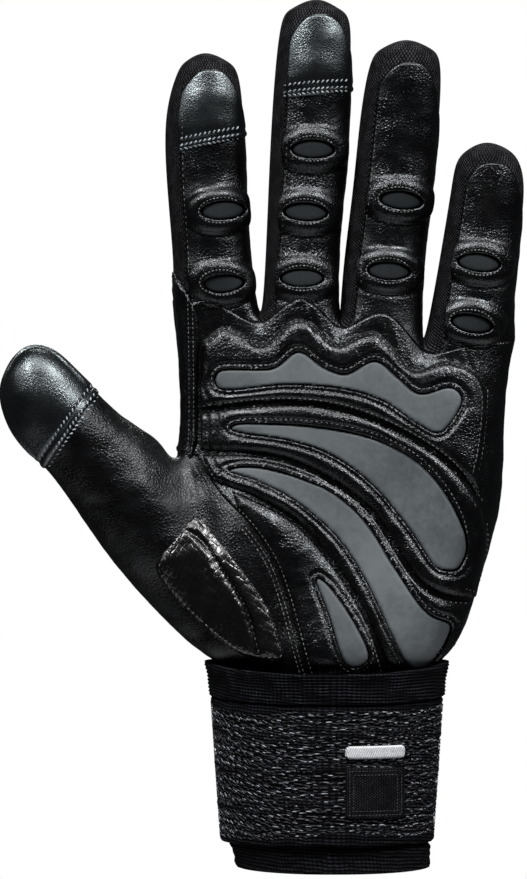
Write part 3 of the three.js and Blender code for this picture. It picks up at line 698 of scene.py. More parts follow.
    @staticmethod
    def evaluated(source: bpy.types.Object, level: int) -> tuple[Array, ...]:
        """The smooth surface at a subdivision level.

        Args:
            source: the cage's object.
            level: how often its faces are divided.

        Returns:
            The points, the normals, the faces' four corners and the faces' panel numbers.
        """
        modifier = source.modifiers["smooth"]
        modifier.levels = modifier.render_levels = level
        shaped = source.evaluated_get(bpy.context.evaluated_depsgraph_get())
        mesh = shaped.to_mesh()
        points = np.empty(len(mesh.vertices) * 3)
        normals = np.empty(len(mesh.vertices) * 3)
        corners = np.empty(len(mesh.loops), int)
        panels = np.empty(len(mesh.polygons), int)
        mesh.vertices.foreach_get("co", points)
        mesh.vertices.foreach_get("normal", normals)
        mesh.loops.foreach_get("vertex_index", corners)
        mesh.attributes["panel"].data.foreach_get("value", panels)
        shaped.to_mesh_clear()
        return points.reshape(-1, 3), normals.reshape(-1, 3), corners.reshape(-1, 4), panels

    def remove(self) -> None:
        """Takes the construction mesh out of the scene."""
        bpy.data.objects.remove(self.source)


@dataclass
class Patch:
    """Part of a surface: rows of x, y, z, the normal and two pattern coordinates, and faces."""

    data: Array
    faces: list[list[int]]

    @property
    def points(self) -> Array:
        """The points."""
        return self.data[:, :3]

    @property
    def normals(self) -> Array:
        """The outward directions."""
        return self.data[:, 3:6]

    @property
    def x(self) -> Array:
        """The points' x."""
        return self.data[:, 0]

    @property
    def y(self) -> Array:
        """The points' y."""
        return self.data[:, 1]

    @property
    def z(self) -> Array:
        """The points' z."""
        return self.data[:, 2]

    @property
    def ahead(self) -> Array:
        """How far each point faces the front, from -1 to 1."""
        return -self.data[:, 4]

    @property
    def carried(self) -> Array:
        """The first pattern coordinate, which a cut blends along its new edge."""
        return self.data[:, 6]

    def carry(self, values: Array) -> None:
        """Sets the first pattern coordinate."""
        self.data[:, 6] = values

    def squarely(self) -> Array:
        """How squarely each point faces the front, from 0 at the sides to 1."""
        return step_between(self.ahead, *SIDE_TO_FRONT)

    def clipped(self, distance: Array, snap: float = 0.05) -> "Patch":
        """Cuts away where the distance is positive, with new points on the edge.

        Args:
            distance: signed distance of every point, negative where the patch stays.
            snap: how near the edge a point counts as on it.

        Returns:
            The patch that is left.
        """
        level = np.where(np.abs(distance) < snap, 0.0, distance)
        inside = level <= 0
        rows: list[Array] = []
        cut: dict[tuple[int, int], int] = {}
        faces: list[list[int]] = []
        for face in self.faces:
            kept = [inside[corner] for corner in face]
            if all(kept):
                faces.append(face)
                continue
            if not any(kept):
                continue
            made = []
            for i, corner in enumerate(face):
                after = face[(i + 1) % len(face)]
                if inside[corner]:
                    made.append(corner)
                if inside[corner] != inside[after] and level[corner] != 0 and level[after] != 0:
                    key = (min(corner, after), max(corner, after))
                    if key not in cut:
                        share = level[key[0]] / (level[key[0]] - level[key[1]])
                        rows.append(self.data[key[0]] * (1 - share) + self.data[key[1]] * share)
                        cut[key] = len(self.data) + len(rows) - 1
                    made.append(cut[key])
            if len(made) > 2:
                faces.append(made)
        data = np.vstack([self.data, *rows]) if rows else self.data
        return Patch(data, faces).compact()

    def compact(self) -> "Patch":
        """The patch without points that no face uses."""
        used, faces = used_corners(self.faces, len(self.data))
        return Patch(self.data[used], faces)

    def raised(self, height: Array | float) -> "Patch":
        """The patch moved out along its normals.

        Args:
            height: how far each point moves, or all of them.

        Returns:
            The moved patch.
        """
        data = self.data.copy()
        data[:, :3] += self.normals * np.reshape(height, (-1, 1))
        return Patch(data, self.faces)

    def rim(self) -> list[tuple[int, int]]:
        """The edges that belong to one face only, in the faces' direction."""
        sides = {(face[i], face[(i + 1) % len(face)]) for face in self.faces for i in range(len(face))}
        return [(a, b) for a, b in sides if (b, a) not in sides]

    def skirted(self, depth: float) -> "Patch":
        """The patch with its edge turned down.

        Args:
            depth: how far down the new edge lies.

        Returns:
            The patch with its skirt.
        """
        rim = sorted(self.rim())
        corners = sorted({corner for edge in rim for corner in edge})
        lower = {corner: len(self.data) + i for i, corner in enumerate(corners)}
        below = self.data[corners].copy()
        below[:, :3] -= below[:, 3:6] * depth
        faces = self.faces + [[b, a, lower[a], lower[b]] for a, b in rim]
        return Patch(np.vstack([self.data, below]), faces)


class Skin:
    """The glove's smooth surface at one fineness, for cutting panels and laying things on."""

    def __init__(self, form: GloveForm, level: int) -> None:
        """Takes the surface from the form.

        Args:
            form: the whole glove's form.
            level: how often the cage's faces are divided.
        """
        self.names = form.panels
        self.points, self.normals, self.faces, self.panels = GloveForm.evaluated(form.source, level)
        self.tree: BVHTree | None = None

    def patch(self, *names: str) -> Patch:
        """Part of the skin, with x and z as its pattern coordinates.

        Args:
            names: the panels that it takes in.

        Returns:
            The patch.
        """
        numbers = [self.names.index(name) for name in names]
        chosen = self.faces[np.isin(self.panels, numbers)]
        used, renumbered = np.unique(chosen, return_inverse=True)
        count = len(used)
        data = np.hstack([self.points[used], self.normals[used], np.zeros((count, 2))])
        data[:, 6] = data[:, 0]
        data[:, 7] = data[:, 2]
        return Patch(data, renumbered.reshape(-1, 4).tolist())

    def front(self, x: float, z: float) -> tuple[Vector, Vector] | None:
        """The palm side at one place of the front view.

        Args:
            x: the place's x.
            z: the place's z.

        Returns:
            The point and its smooth outward direction, or None beyond the glove.
        """
        if self.tree is None:
            self.tree = BVHTree.FromPolygons(self.points.tolist(), self.faces.tolist())
        place, _, face, _ = self.tree.ray_cast(Vector((x, RAY_START_Y, z)), Vector((0, 1, 0)))
        if place is None:
            return None
        corners = self.faces[face]
        weights = poly_3d_calc([Vector(self.points[c]) for c in corners], place)
        normal = sum((Vector(self.normals[c]) * w for c, w in zip(corners, weights)), Vector())
        return place, normal.normalized()

    def laid(self, x: Array, z: Array) -> Array:
        """Places of the front view laid on the palm side.

        Args:
            x: the x of each place.
            z: the z of each place.

        Returns:
            A patch's rows of point, normal and pattern coordinates.
        """
        rows = np.zeros((len(x), 8))
        for i, (px, pz) in enumerate(zip(x, z)):
            found = self.front(float(px), float(pz))
            if found is None:
                found = (Vector((px, 0, pz)), Vector((0, -1, 0)))
            rows[i, :3], rows[i, 3:6] = found
        rows[:, 6] = x
        rows[:, 7] = z
        return rows


def front_grid(skin: Skin, distance: Distance, low: Sequence[float], high: Sequence[float],
               step: float) -> Patch:
    """A fine patch of the palm side inside an outline, with points drawn to the outline.

    Args:
        skin: the surface that the patch lies on.
        distance: signed distance to the outline at x and z, negative inside.
        low: the lowest x and z of the patch.
        high: the highest x and z of the patch.
        step: the distance between points.

    Returns:
        The patch, with x and z as its pattern coordinates.
    """
    pull_from, least_slope, small = 0.6 * step, 0.5, 0.05
    columns = np.arange(low[0], high[0] + step, step)
    rows = np.arange(low[1], high[1] + step, step)
    x, z = (grid.ravel() for grid in np.meshgrid(columns, rows))
    away = distance(x, z)
    near = np.abs(away) < pull_from
    nx, nz = x[near], z[near]
    slope_x = (distance(nx + small, nz) - distance(nx - small, nz)) / (2 * small)
    slope_z = (distance(nx, nz + small) - distance(nx, nz - small)) / (2 * small)
    steep = np.maximum(np.hypot(slope_x, slope_z), least_slope)
    x[near] -= away[near] * slope_x / steep**2
    z[near] -= away[near] * slope_z / steep**2
    kept = (away < 0) | near
    cells = grid_cells(len(columns), len(rows))
    counts = kept[cells].sum(axis=1)
    faces = cells[counts == 4].tolist()
    faces += [[c for c in cell if kept[c]] for cell in cells[counts == 3].tolist()]
    used, faces = used_corners(faces, len(x))
    return Patch(skin.laid(x[used], z[used]), faces)


class DressedFront:
    """The finished front surfaces, on which stitches and trim are laid."""

    def __init__(self) -> None:
        """Starts with nothing dressed."""
        self.points: list[list[float]] = []
        self.faces: list[list[int]] = []
        self.tree: BVHTree | None = None

    def include(self, patch: Patch) -> "DressedFront":
        """Adds a finished surface.

        Args:
            patch: the surface.

        Returns:
            This, with the surface in it.
        """
        start = len(self.points)
        self.points += patch.points.tolist()
        self.faces += [[start + corner for corner in face] for face in patch.faces]
        self.tree = None
        return self

    def at(self, x: float, z: float) -> tuple[Vector, Vector] | None:
        """The foremost dressed surface at one place of the front view.

        Args:
            x: the place's x.
            z: the place's z.

        Returns:
            The point and its face's outward direction, or None beyond the surfaces.
        """
        if self.tree is None:
            self.tree = BVHTree.FromPolygons(self.points, self.faces)
        place, normal, _, _ = self.tree.ray_cast(Vector((x, RAY_START_Y, z)), Vector((0, 1, 0)))
        if place is None:
            return None
        return place, normal if normal.y < 0 else -normal


def deselect() -> None:
    """Leaves nothing selected, so that an operator acts on new geometry only."""
    if bpy.context.object and bpy.context.object.mode != "OBJECT":
        bpy.ops.object.mode_set(mode="OBJECT")
    bpy.ops.object.select_all(action="DESELECT")


def mesh_object(name: str, points: Array, faces: list[list[int]],
                pattern: Array | None = None) -> bpy.types.Object:
    """A smooth-shaded object from points in millimetres.

    Args:
        name: the piece's name.
        points: x, y and z of its points, in the tables' millimetres.
        faces: the corners of its faces.
        pattern: two pattern coordinates for each point, in millimetres.

    Returns:
        The object, at the origin, with its place in its mesh.
    """
    placed = (np.asarray(points) - (0, 0, WRIST_OPENING_Z)) * MM
    mesh = bpy.data.meshes.new(name)
    mesh.from_pydata(placed.tolist(), [], faces)
    if pattern is not None:
        layer = mesh.uv_layers.new(name="pattern")
        corners = np.empty(len(mesh.loops), int)
        mesh.loops.foreach_get("vertex_index", corners)
        layer.data.foreach_set("uv", np.asarray(pattern)[corners].ravel())
    mesh.polygons.foreach_set("use_smooth", [True] * len(mesh.polygons))
    mesh.validate()
    piece = bpy.data.objects.new(name, mesh)
    bpy.context.scene.collection.objects.link(piece)
    return piece


def patch_object(name: str, patch: Patch) -> bpy.types.Object:
    """An object from a patch, with its pattern coordinates."""
    return mesh_object(name, patch.points, patch.faces, patch.data[:, 6:8])


def sharpen(piece: bpy.types.Object) -> None:
    """Keeps a piece's steep edges crisp under smooth shading.

    Args:
        piece: the piece.
    """
    deselect()
    piece.select_set(True)
    bpy.context.view_layer.objects.active = piece
    bpy.ops.object.shade_smooth_by_angle(angle=math.radians(CRISP_DEGREES))
    deselect()


class Slot(Enum):
    """The record's material slots."""

    LEATHER = "leather"
    TOUCH = "touch_leather"
    SCALE = "scale_leather"
    KNIT = "knit"
    GRIP = "grip"
    INSERT = "insert"
    ELASTIC = "elastic"
    THREAD = "thread"


class Value:
    """A number on a node's socket, whose arithmetic adds Math nodes."""

    def __init__(self, sheet: "NodeSheet", socket: Socket) -> None:
        """Wraps a socket of a sheet."""
        self.sheet = sheet
        self.socket = socket

    def math(self, operation: str, first: "Value | float", second: "Value | float" = 0.0) -> "Value":
        """Adds one Math node."""
        node = self.sheet.node("ShaderNodeMath", {"operation": operation}, {0: first, 1: second})
        return Value(self.sheet, node.outputs[0])

    def __add__(self, other: "Value | float") -> "Value":
        """This plus the other."""
        return self.math("ADD", self, other)

    def __sub__(self, other: "Value | float") -> "Value":
        """This less the other."""
        return self.math("SUBTRACT", self, other)

    def __rsub__(self, other: float) -> "Value":
        """A number less this."""
        return self.math("SUBTRACT", other, self)

    def __mul__(self, other: "Value | float") -> "Value":
        """This times the other."""
        return self.math("MULTIPLY", self, other)

    __radd__ = __add__
    __rmul__ = __mul__

    def size(self) -> "Value":
        """This without its sign."""
        return self.math("ABSOLUTE", self)

    def ribs(self, pitch_mm: float) -> "Value":
        """Ribs of height 0 to 1, a pitch apart."""
        return self.math("SINE", self * (math.pi / pitch_mm)).size()

    def between(self, low: float, high: float, start: float = 0.0, end: float = 1.0) -> "Value":
        """A smooth step from start at low to end at high.

        Args:
            low: where it starts.
            high: where it ends.
            start: its value up to there.
            end: its value from there.

        Returns:
            The stepped value.
        """
        settings = {"interpolation_type": "SMOOTHSTEP"}
        values = {"Value": self, "From Min": low, "From Max": high, "To Min": start, "To Max": end}
        return Value(self.sheet, self.sheet.node("ShaderNodeMapRange", settings, values).outputs[0])


class NodeSheet:
    """The node tree of a material or a world, with one method that adds any node."""

    def __init__(self, name: str, owners: bpy.types.bpy_prop_collection | None = None) -> None:
        """Starts an empty tree.

        Args:
            name: the new material's or world's name.
            owners: where it is made, among the materials unless given.
        """
        self.owner = (bpy.data.materials if owners is None else owners).new(name)
        self.owner.use_nodes = True
        self.tree = self.owner.node_tree
        self.tree.nodes.clear()

    def node(self, kind: str, settings: dict | None = None, values: dict | None = None) -> bpy.types.Node:
        """Adds a node.

        Args:
            kind: the node's type.
            settings: its properties, set first.
            values: numbers, colours, sockets or Values for its inputs, by name or number.

        Returns:
            The node.
        """
        made = self.tree.nodes.new(kind)
        for key, setting in (settings or {}).items():
            setattr(made, key, setting)
        for key, value in (values or {}).items():
            if isinstance(value, Value):
                value = value.socket
            if isinstance(value, Socket):
                self.tree.links.new(value, made.inputs[key])
            else:
                made.inputs[key].default_value = value
        return made

    def place(self) -> Socket:
        """The point in the piece's own space, in metres."""
        return self.node("ShaderNodeTexCoord").outputs["Object"]

    def pattern(self) -> tuple[Value, Value]:
        """The two pattern coordinates, in millimetres."""
        uv = self.node("ShaderNodeUVMap", {"uv_map": "pattern"}).outputs[0]
        parts = self.node("ShaderNodeSeparateXYZ", values={0: uv}).outputs
        return Value(self, parts[0]), Value(self, parts[1])

    def stretched(self, scale: Sequence[float], turn: Sequence[float] = (0, 0, 0)) -> Socket:
        """The place, turned and stretched along its axes."""
        values = {"Vector": self.place(), "Scale": scale, "Rotation": turn}
        return self.node("ShaderNodeMapping", values=values).outputs[0]

    def noise(self, size_mm: float, detail: float = 3, rough: float = 0.5,
              at: Socket | None = None) -> Value:
        """Soft noise.

        Args:
            size_mm: the size of its lumps.
            detail: how many finer layers it has.
            rough: how much the finer layers count.
            at: where it is read, the piece's own space unless given.

        Returns:
            The noise, from 0 to 1.
        """
        values = {"Vector": at or self.place(), "Scale": 1 / (size_mm * MM), "Detail": detail,
                  "Roughness": rough}
        return Value(self, self.node("ShaderNodeTexNoise", values=values).outputs[0])

    def cells(self, size_mm: float, feature: str, wander: float) -> Value:
        """Cells in the piece's own space, with wavering edges.

        Args:
            size_mm: the size of a cell.
            feature: the distance that is given, from the cells' middles or from their edges.
            wander: how far the edges waver, in millimetres.

        Returns:
            The distance, in cells.
        """
        at = self.place()
        drift_mm = 1.7 * size_mm
        drift = self.node("ShaderNodeTexNoise", values={"Vector": at, "Scale": 1 / (drift_mm * MM)})
        moved = self.node("ShaderNodeVectorMath", {"operation": "MULTIPLY_ADD"},
                          {0: drift.outputs["Color"], 1: (wander * MM,) * 3, 2: at})
        values = {"Vector": moved.outputs[0], "Scale": 1 / (size_mm * MM)}
        made = self.node("ShaderNodeTexVoronoi", {"feature": feature}, values)
        return Value(self, made.outputs["Distance"])

    def flat_cells(self, size_mm: float, feature: str) -> Value:
        """Cells on the pattern coordinates, in rows turned off the vertical.

        Args:
            size_mm: the size of a cell.
            feature: the distance that is given, from the cells' middles or from their edges.

        Returns:
            The distance, in cells.
        """
        uv = self.node("ShaderNodeUVMap", {"uv_map": "pattern"}).outputs[0]
        turned = self.node("ShaderNodeMapping", values={
            "Vector": uv, "Rotation": (0, 0, CELL_ROW_TURN), "Scale": (1, CELL_ROW_SQUASH, 1)})
        values = {"Vector": turned.outputs[0], "Scale": 1 / size_mm, "Randomness": CELL_SCATTER}
        made = self.node("ShaderNodeTexVoronoi", {"voronoi_dimensions": "2D", "feature": feature}, values)
        return Value(self, made.outputs["Distance"])

    def mixed(self, share: Value, first: Sequence[float], second: Sequence[float]) -> Socket:
        """A colour between two.

        Args:
            share: how much it has of the second, from 0 to 1.
            first: the first colour.
            second: the second colour.

        Returns:
            The colour's socket.
        """
        made = self.node("ShaderNodeMix", {"data_type": "RGBA"})
        self.tree.links.new(share.socket, made.inputs["Factor"])
        made.inputs[6].default_value = (*first, 1)
        made.inputs[7].default_value = (*second, 1)
        return made.outputs[2]

    def bump(self, height: Value, depth_mm: float,
             after: Socket | None = None) -> Socket:
        """A relief in the surface's light and shade.

        Args:
            height: the height, from 0 to 1.
            depth_mm: the depth that a height of 1 stands for.
            after: the relief that this one lies on, where there is one.

        Returns:
            The normal's socket.
        """
        values = {"Height": height, "Distance": depth_mm * MM}
        if after:
            values["Normal"] = after
        return self.node("ShaderNodeBump", values=values).outputs[0]

    def finished(self, sockets: dict) -> Material:
        """Closes the tree with the surface shader.

        Args:
            sockets: values or links of the surface shader, by name.

        Returns:
            The material.
        """
        surface = self.node("ShaderNodeBsdfPrincipled", values=sockets)
        self.node("ShaderNodeOutputMaterial", values={"Surface": surface.outputs[0]})
        return self.owner


@dataclass(frozen=True)
class Leather:
    """Grained leather: its two tones, its gloss, and the size and depth of its grain."""

    name: str
    dark: Triple = (0.001, 0.001, 0.0012)
    light: Triple = (0.0045, 0.0043, 0.0046)
    rough: Pair = (0.23, 0.33)
    gloss: float = 0.55
    grain_mm: float = 0.85
    grain_depth: float = 0.075
    fine_share: float = 0.4
    fold_mm: float = 5.5
    fold_depth: float = 0.055
    long_fold_mm: float = 4.0
    long_fold_stretch: Triple = (0.35, 1, 1.9)
    patch_mm: float = 9.0
    wear_mm: float = 14.0
    gloss_mm: float = 6.0
    tint: Triple = (0.92, 0.96, 1.0)
    coat: float = 0.0
    coat_rough: float = 0.3

    def material(self) -> Material:
        """The node tree of this leather."""
        sheet = NodeSheet(self.name)
        domes = 1 - sheet.cells(self.grain_mm, "F1", wander=0.6).between(0.0, 0.75)
        edges = sheet.cells(self.grain_mm, "DISTANCE_TO_EDGE", wander=0.6).between(0.0, 0.3)
        pebbles = edges * 0.6 + domes * 0.5
        fine_mm = self.grain_mm * self.fine_share
        fine = sheet.cells(fine_mm, "DISTANCE_TO_EDGE", wander=0.2).between(0.0, 0.3)
        patches = sheet.noise(self.patch_mm, 2)
        folds = 1 - ((sheet.noise(self.fold_mm, 2, 0.5) - 0.5) * 5).size().between(0, 1)
        long_folds = sheet.noise(self.long_fold_mm, 3, 0.55, sheet.stretched(self.long_fold_stretch))
        grain = pebbles * patches.between(0.3, 0.65, 0.4, 1.0) + fine * 0.12
        relief = sheet.bump(folds * -0.5 + long_folds * 0.7, self.fold_depth)
        relief = sheet.bump(grain, self.grain_depth, relief)
        worn = (pebbles * sheet.noise(self.wear_mm, 4, 0.6).between(0.45, 0.75)).between(0.1, 1)
        rough = sheet.noise(self.gloss_mm, 3).between(0.3, 0.7, *self.rough)
        return sheet.finished({
            "Base Color": sheet.mixed(worn, self.dark, self.light),
            "Roughness": rough - pebbles * 0.06,
            "Normal": relief,
            "Specular Tint": (*self.tint, 1),
            "Specular IOR Level": self.gloss,
            "Coat Weight": self.coat,
            "Coat Roughness": self.coat_rough,
        })


@dataclass(frozen=True)
class ScaleLeather:
    """Glossy leather with an embossed pattern of small six-sided scales."""

    name: str = "scale_leather"
    gap: Triple = (0.002, 0.002, 0.002)
    tone: Triple = (0.0035, 0.0035, 0.004)
    rough: Pair = (0.17, 0.27)
    gloss: float = 0.65
    scale_mm: float = 1.5
    scale_depth: float = 0.05
    fold_mm: float = 7.0
    fold_depth: float = 0.03

    def material(self) -> Material:
        """The node tree of this leather."""
        sheet = NodeSheet(self.name)
        edge = sheet.flat_cells(self.scale_mm, "DISTANCE_TO_EDGE").between(0.02, 0.2)
        dome = 1 - sheet.flat_cells(self.scale_mm, "F1").between(0.0, 0.7)
        relief = sheet.bump(sheet.noise(self.fold_mm, 2, 0.5), self.fold_depth)
        relief = sheet.bump(edge * 0.7 + dome * 0.5, self.scale_depth, relief)
        return sheet.finished({
            "Base Color": sheet.mixed(edge, self.gap, self.tone),
            "Roughness": sheet.noise(4, 3).between(0.3, 0.7, *self.rough),
            "Normal": relief,
            "Specular IOR Level": self.gloss,
        })


@dataclass(frozen=True)
class Knit:
    """Stretch knit with fine ribs across its length, and a net beyond one side where it has one. Its colour
    paints light and shade: the yarn's crests take the light tone as a painted highlight, and the gaps take
    the near-black tone as painted shade.
    """

    name: str
    # dark is the painted shade in the gaps between the yarns, light the painted highlight on their crests
    dark: Triple = (0.0005, 0.0005, 0.0007)
    light: Triple = (0.070, 0.070, 0.077)
    rough: Pair = (0.75, 0.95)
    gloss: float = 0.06
    course_mm: float = 0.78
    slant: float = 0.7
    wander_mm: float = 1.2
    net_mm: float = 1.15
    net_slant: float = 0.75
    net_from: float | None = None
    net_blend: float = 1.2
    fuzz_mm: float = 0.25
    fuzz_share: float = 0.25
    depth: float = 0.17

    def material(self) -> Material:
        """The node tree of this knit."""
        sheet = NodeSheet(self.name)
        across, along = sheet.pattern()
        wander = (sheet.noise(6, 2) - 0.5) * self.wander_mm
        course = (along + across * self.slant + wander).ribs(self.course_mm)
        wale = across.ribs(self.course_mm)
        yarn = course.between(0.15, 0.95) * (wale * 0.35 + 0.65)
        if self.net_from is not None:
            one_way = (across + along * self.net_slant).ribs(self.net_mm)
            other_way = (across - along * self.net_slant).ribs(self.net_mm)
            net = (one_way * other_way).between(0.12, 0.55)
            share = across.between(self.net_from, self.net_from + self.net_blend)
            yarn = net * share + yarn * (1 - share)
        fuzz = sheet.noise(self.fuzz_mm, 2, 0.7)
        cloud = sheet.noise(3, 3).between(0.3, 0.7, 0.35, 1.0)
        # painted highlight and shade: the yarn's crests get the light tone, the gaps between them the dark
        # one
        tone = yarn.between(0.6, 1.0) * cloud * fuzz.between(0.3, 0.65)
        return sheet.finished({
            "Base Color": sheet.mixed(tone, self.dark, self.light),
            "Roughness": fuzz.between(0.2, 0.8, *self.rough),
            "Normal": sheet.bump(yarn + fuzz * self.fuzz_share, self.depth),
            "Specular IOR Level": self.gloss,
        })


@dataclass(frozen=True)
class Rubber:
    """Matte moulded rubber with a fine sanded face."""

    name: str
    dark: Triple
    light: Triple
    rough: Pair = (0.5, 0.66)
    gloss: float = 0.5
    sand_mm: float = 0.28
    sand_depth: float = 0.03
    cloud_mm: float = 26.0
    rub_mm: float = 1.6

    def material(self) -> Material:
        """The node tree of this rubber."""
        sheet = NodeSheet(self.name)
        sand = sheet.noise(self.sand_mm, 3, 0.65)
        cloud = sheet.noise(self.cloud_mm, 3, 0.5)
        rub = sheet.noise(self.rub_mm, 4, 0.7)
        tone = (cloud * 0.75 + rub * 0.25).between(0.34, 0.66)
        return sheet.finished({
            "Base Color": sheet.mixed(tone, self.dark, self.light),
            "Roughness": rub.between(0.3, 0.7, *self.rough),
            "Normal": sheet.bump(sand, self.sand_depth),
            "Specular IOR Level": self.gloss,
        })


@dataclass(frozen=True)
class Satin:
    """Close rows of shiny embroidery thread."""

    name: str = "satin_thread"
    dark: Triple = (0.42, 0.43, 0.46)
    light: Triple = (0.82, 0.83, 0.85)
    rough: float = 0.42
    pitch_mm: float = 0.5
    slant: float = 0.3
    depth: float = 0.12

    def material(self) -> Material:
        """The node tree of the embroidery."""
        sheet = NodeSheet(self.name)
        across, along = sheet.pattern()
        wander = (sheet.noise(1.5, 2) - 0.5) * 0.5
        thread = (across + along * self.slant + wander).ribs(self.pitch_mm)
        tone = thread.between(0.1, 0.75) * sheet.noise(1.1, 3).between(0.3, 0.6, 0.6, 1.0)
        return sheet.finished({
            "Base Color": sheet.mixed(tone, self.dark, self.light),
            "Roughness": self.rough,
            "Normal": sheet.bump(thread, self.depth),
        })


@dataclass(frozen=True)
class Yarn:
    """Twisted thread or yarn: its tone, its gloss and how far the tone wanders."""

    name: str
    dark: Triple
    light: Triple
    rough: float = 0.5
    wander_mm: float = 3.0
    fibre_mm: float = 0.12
    fibre_turn: float = 0.5
    fibre_depth: float = 0.03

    def material(self) -> Material:
        """The node tree of this yarn."""
        sheet = NodeSheet(self.name)
        tone = sheet.noise(self.wander_mm, 3, 0.6).between(0.35, 0.68)
        fibre = sheet.noise(self.fibre_mm, 2, 0.6, sheet.stretched((1, 1, 3), (0, self.fibre_turn, 0)))
        return sheet.finished({
            "Base Color": sheet.mixed(tone, self.dark, self.light),
            "Roughness": fibre.between(0.2, 0.8, self.rough - 0.08, self.rough + 0.12),
            "Normal": sheet.bump(fibre, self.fibre_depth),
        })


class Wardrobe:
    """Every finish of the glove, made once."""

    def __init__(self) -> None:
        """Makes the materials."""
        self.leather = Leather("black_leather").material()
        self.touch = Leather(
            "touch_leather", dark=(0.0025, 0.003, 0.0035), light=(0.007, 0.009, 0.0105),
            rough=(0.26, 0.33), gloss=1.0, grain_mm=0.7, grain_depth=0.04, fold_depth=0.04,
            tint=(0.85, 0.96, 1.0), coat=0.15,
        ).material()
        self.thumb = Leather("thumb_leather", rough=(0.29, 0.38), gloss=0.36).material()
        self.scale = ScaleLeather().material()
        # Every knit's light tone paints a highlight on its yarn crests, and its dark tone paints shade in
        # the gaps.
        self.knit = Knit("side_knit", net_from=-8.4).material()
        self.back = Knit("back_knit").material()
        self.grip = Rubber("grip_rubber", (0.052, 0.061, 0.067), (0.105, 0.118, 0.126)).material()
        self.insert = Rubber(
            "insert_rubber", (0.008, 0.0105, 0.012), (0.017, 0.0205, 0.0225), (0.6, 0.75), gloss=0.2,
        ).material()
        self.elastic = Knit(
            "wrap_elastic", dark=(0.0008, 0.0009, 0.0013), light=(0.032, 0.034, 0.042),
            course_mm=0.95, slant=0.06, depth=0.2,
        ).material()
        # Painted sheen: the seam thread and the tip thread are black and glossy, and their grey tones stand
        # in for the light that they catch.
        self.thread = Yarn("seam_thread_painted_sheen", (0.035, 0.036, 0.037), (0.22, 0.222, 0.225), 0.42, 1.6).material()
        self.bright = Yarn("tip_thread_painted_sheen", (0.10, 0.115, 0.13), (0.48, 0.52, 0.56), 0.35, 1.2).material()
        self.fine_floats = Yarn("fine_yarn", (0.002, 0.002, 0.003), (0.04, 0.043, 0.05), 0.6, 1.4).material()
        self.floats = Yarn("wrap_yarn", (0.008, 0.009, 0.012), (0.42, 0.45, 0.5), 0.5, 1.8).material()
        self.satin = Satin().material()
        self.twill = Knit(
            "patch_twill", dark=(0.001, 0.001, 0.0014), light=(0.045, 0.048, 0.057),
            course_mm=0.7, depth=0.12,
        ).material()


@dataclass
class Workshop:
    """What every sub-assembly needs: the surfaces, the finishes and the dressed front."""

    fine: Skin
    middle: Skin
    wardrobe: Wardrobe
    dressed: DressedFront = field(default_factory=DressedFront)

    def dress(self, piece: bpy.types.Object, material: Material, slot: Slot,
              replaces: Iterable[str] = (), fill: float | None = None) -> bpy.types.Object:
        """Gives a piece its finish and its place in the frame.

        Args:
            piece: the finished object.
            material: its material.
            slot: the record's slot that it stands for; not used.
            replaces: the plain nodes that it stands for.
            fill: how full it is, where it is a padded piece; not used.

        Returns:
            The same object.
        """
        piece.data.materials.clear()
        piece.data.materials.append(material)
        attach(piece, BODY)
        nodes = list(replaces)
        if nodes:
            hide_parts(*nodes)
        LOG.info("%s: %d faces, stands for %s", piece.name, len(piece.data.polygons), nodes or "itself")
        return piece

    def lay(self, name: str, patch: Patch, skirt: float, material: Material, slot: Slot,
            node: str, fill: float | None = None, crisp: bool = False) -> None:
        """Makes a raised surface of the palm side a dressed piece, on which stitches can lie.

        Args:
            name: the piece's name.
            patch: its raised surface.
            skirt: how far its edge is turned down, 0 where it closes on itself.
            material: its material.
            slot: the record's slot that it stands for.
            node: the plain node that it stands for.
            fill: how full it is, where it is a padded piece.
            crisp: whether its steep edges stay crisp.
        """
        self.dressed.include(patch)
        piece = patch_object(name, patch.skirted(skirt) if skirt else patch)
        if crisp:
            sharpen(piece)
        self.dress(piece, material, slot, [node], fill)


SEAM_LINES = {name: smooth_line(points) for name, points in SEAMS.items()}
GRIP_LINES = {name: smooth_line(points, closed=True) for name, points in GRIPS.items()}
PAD_REGIONS = {
    "wave": np.vstack([SEAM_LINES["wave"], SEAM_LINES["first"][::-1]]),
    "upper": np.vstack([SEAM_LINES["first"], SEAMS["heel_upper"], SEAM_LINES["second"][::-1]]),
    "lower": np.vstack([SEAM_LINES["second"], SEAMS["heel_lower"], SEAM_LINES["third"][::-1]]),
    "drop": np.vstack([SEAM_LINES["third"][6:], SEAM_LINES["thumb"][::-1][:-18]]),
}
THUMB_SIDE = np.vstack([SEAM_LINES["thumb"], BEYOND_THUMB])
HEM_SHARE = 0.35
HEM_STEP = (57, 65)
LEATHER_CREASES = ((3.2, 0.07, 0), (9, 0.2, 5))
PAD_CREASES = ((3, 0.08, 0), (9, 0.22, 4))


def open_windows(patch: Patch, ovals: Iterable[Oval]) -> Patch:
    """The patch with a window cut for each oval insert.

    Args:
        patch: the leather.
        ovals: the inserts.

    Returns:
        The leather that is left.
    """
    for oval in ovals:
        patch = patch.clipped(WINDOW_GAP - oval.distance(patch.x, patch.z))
    return patch


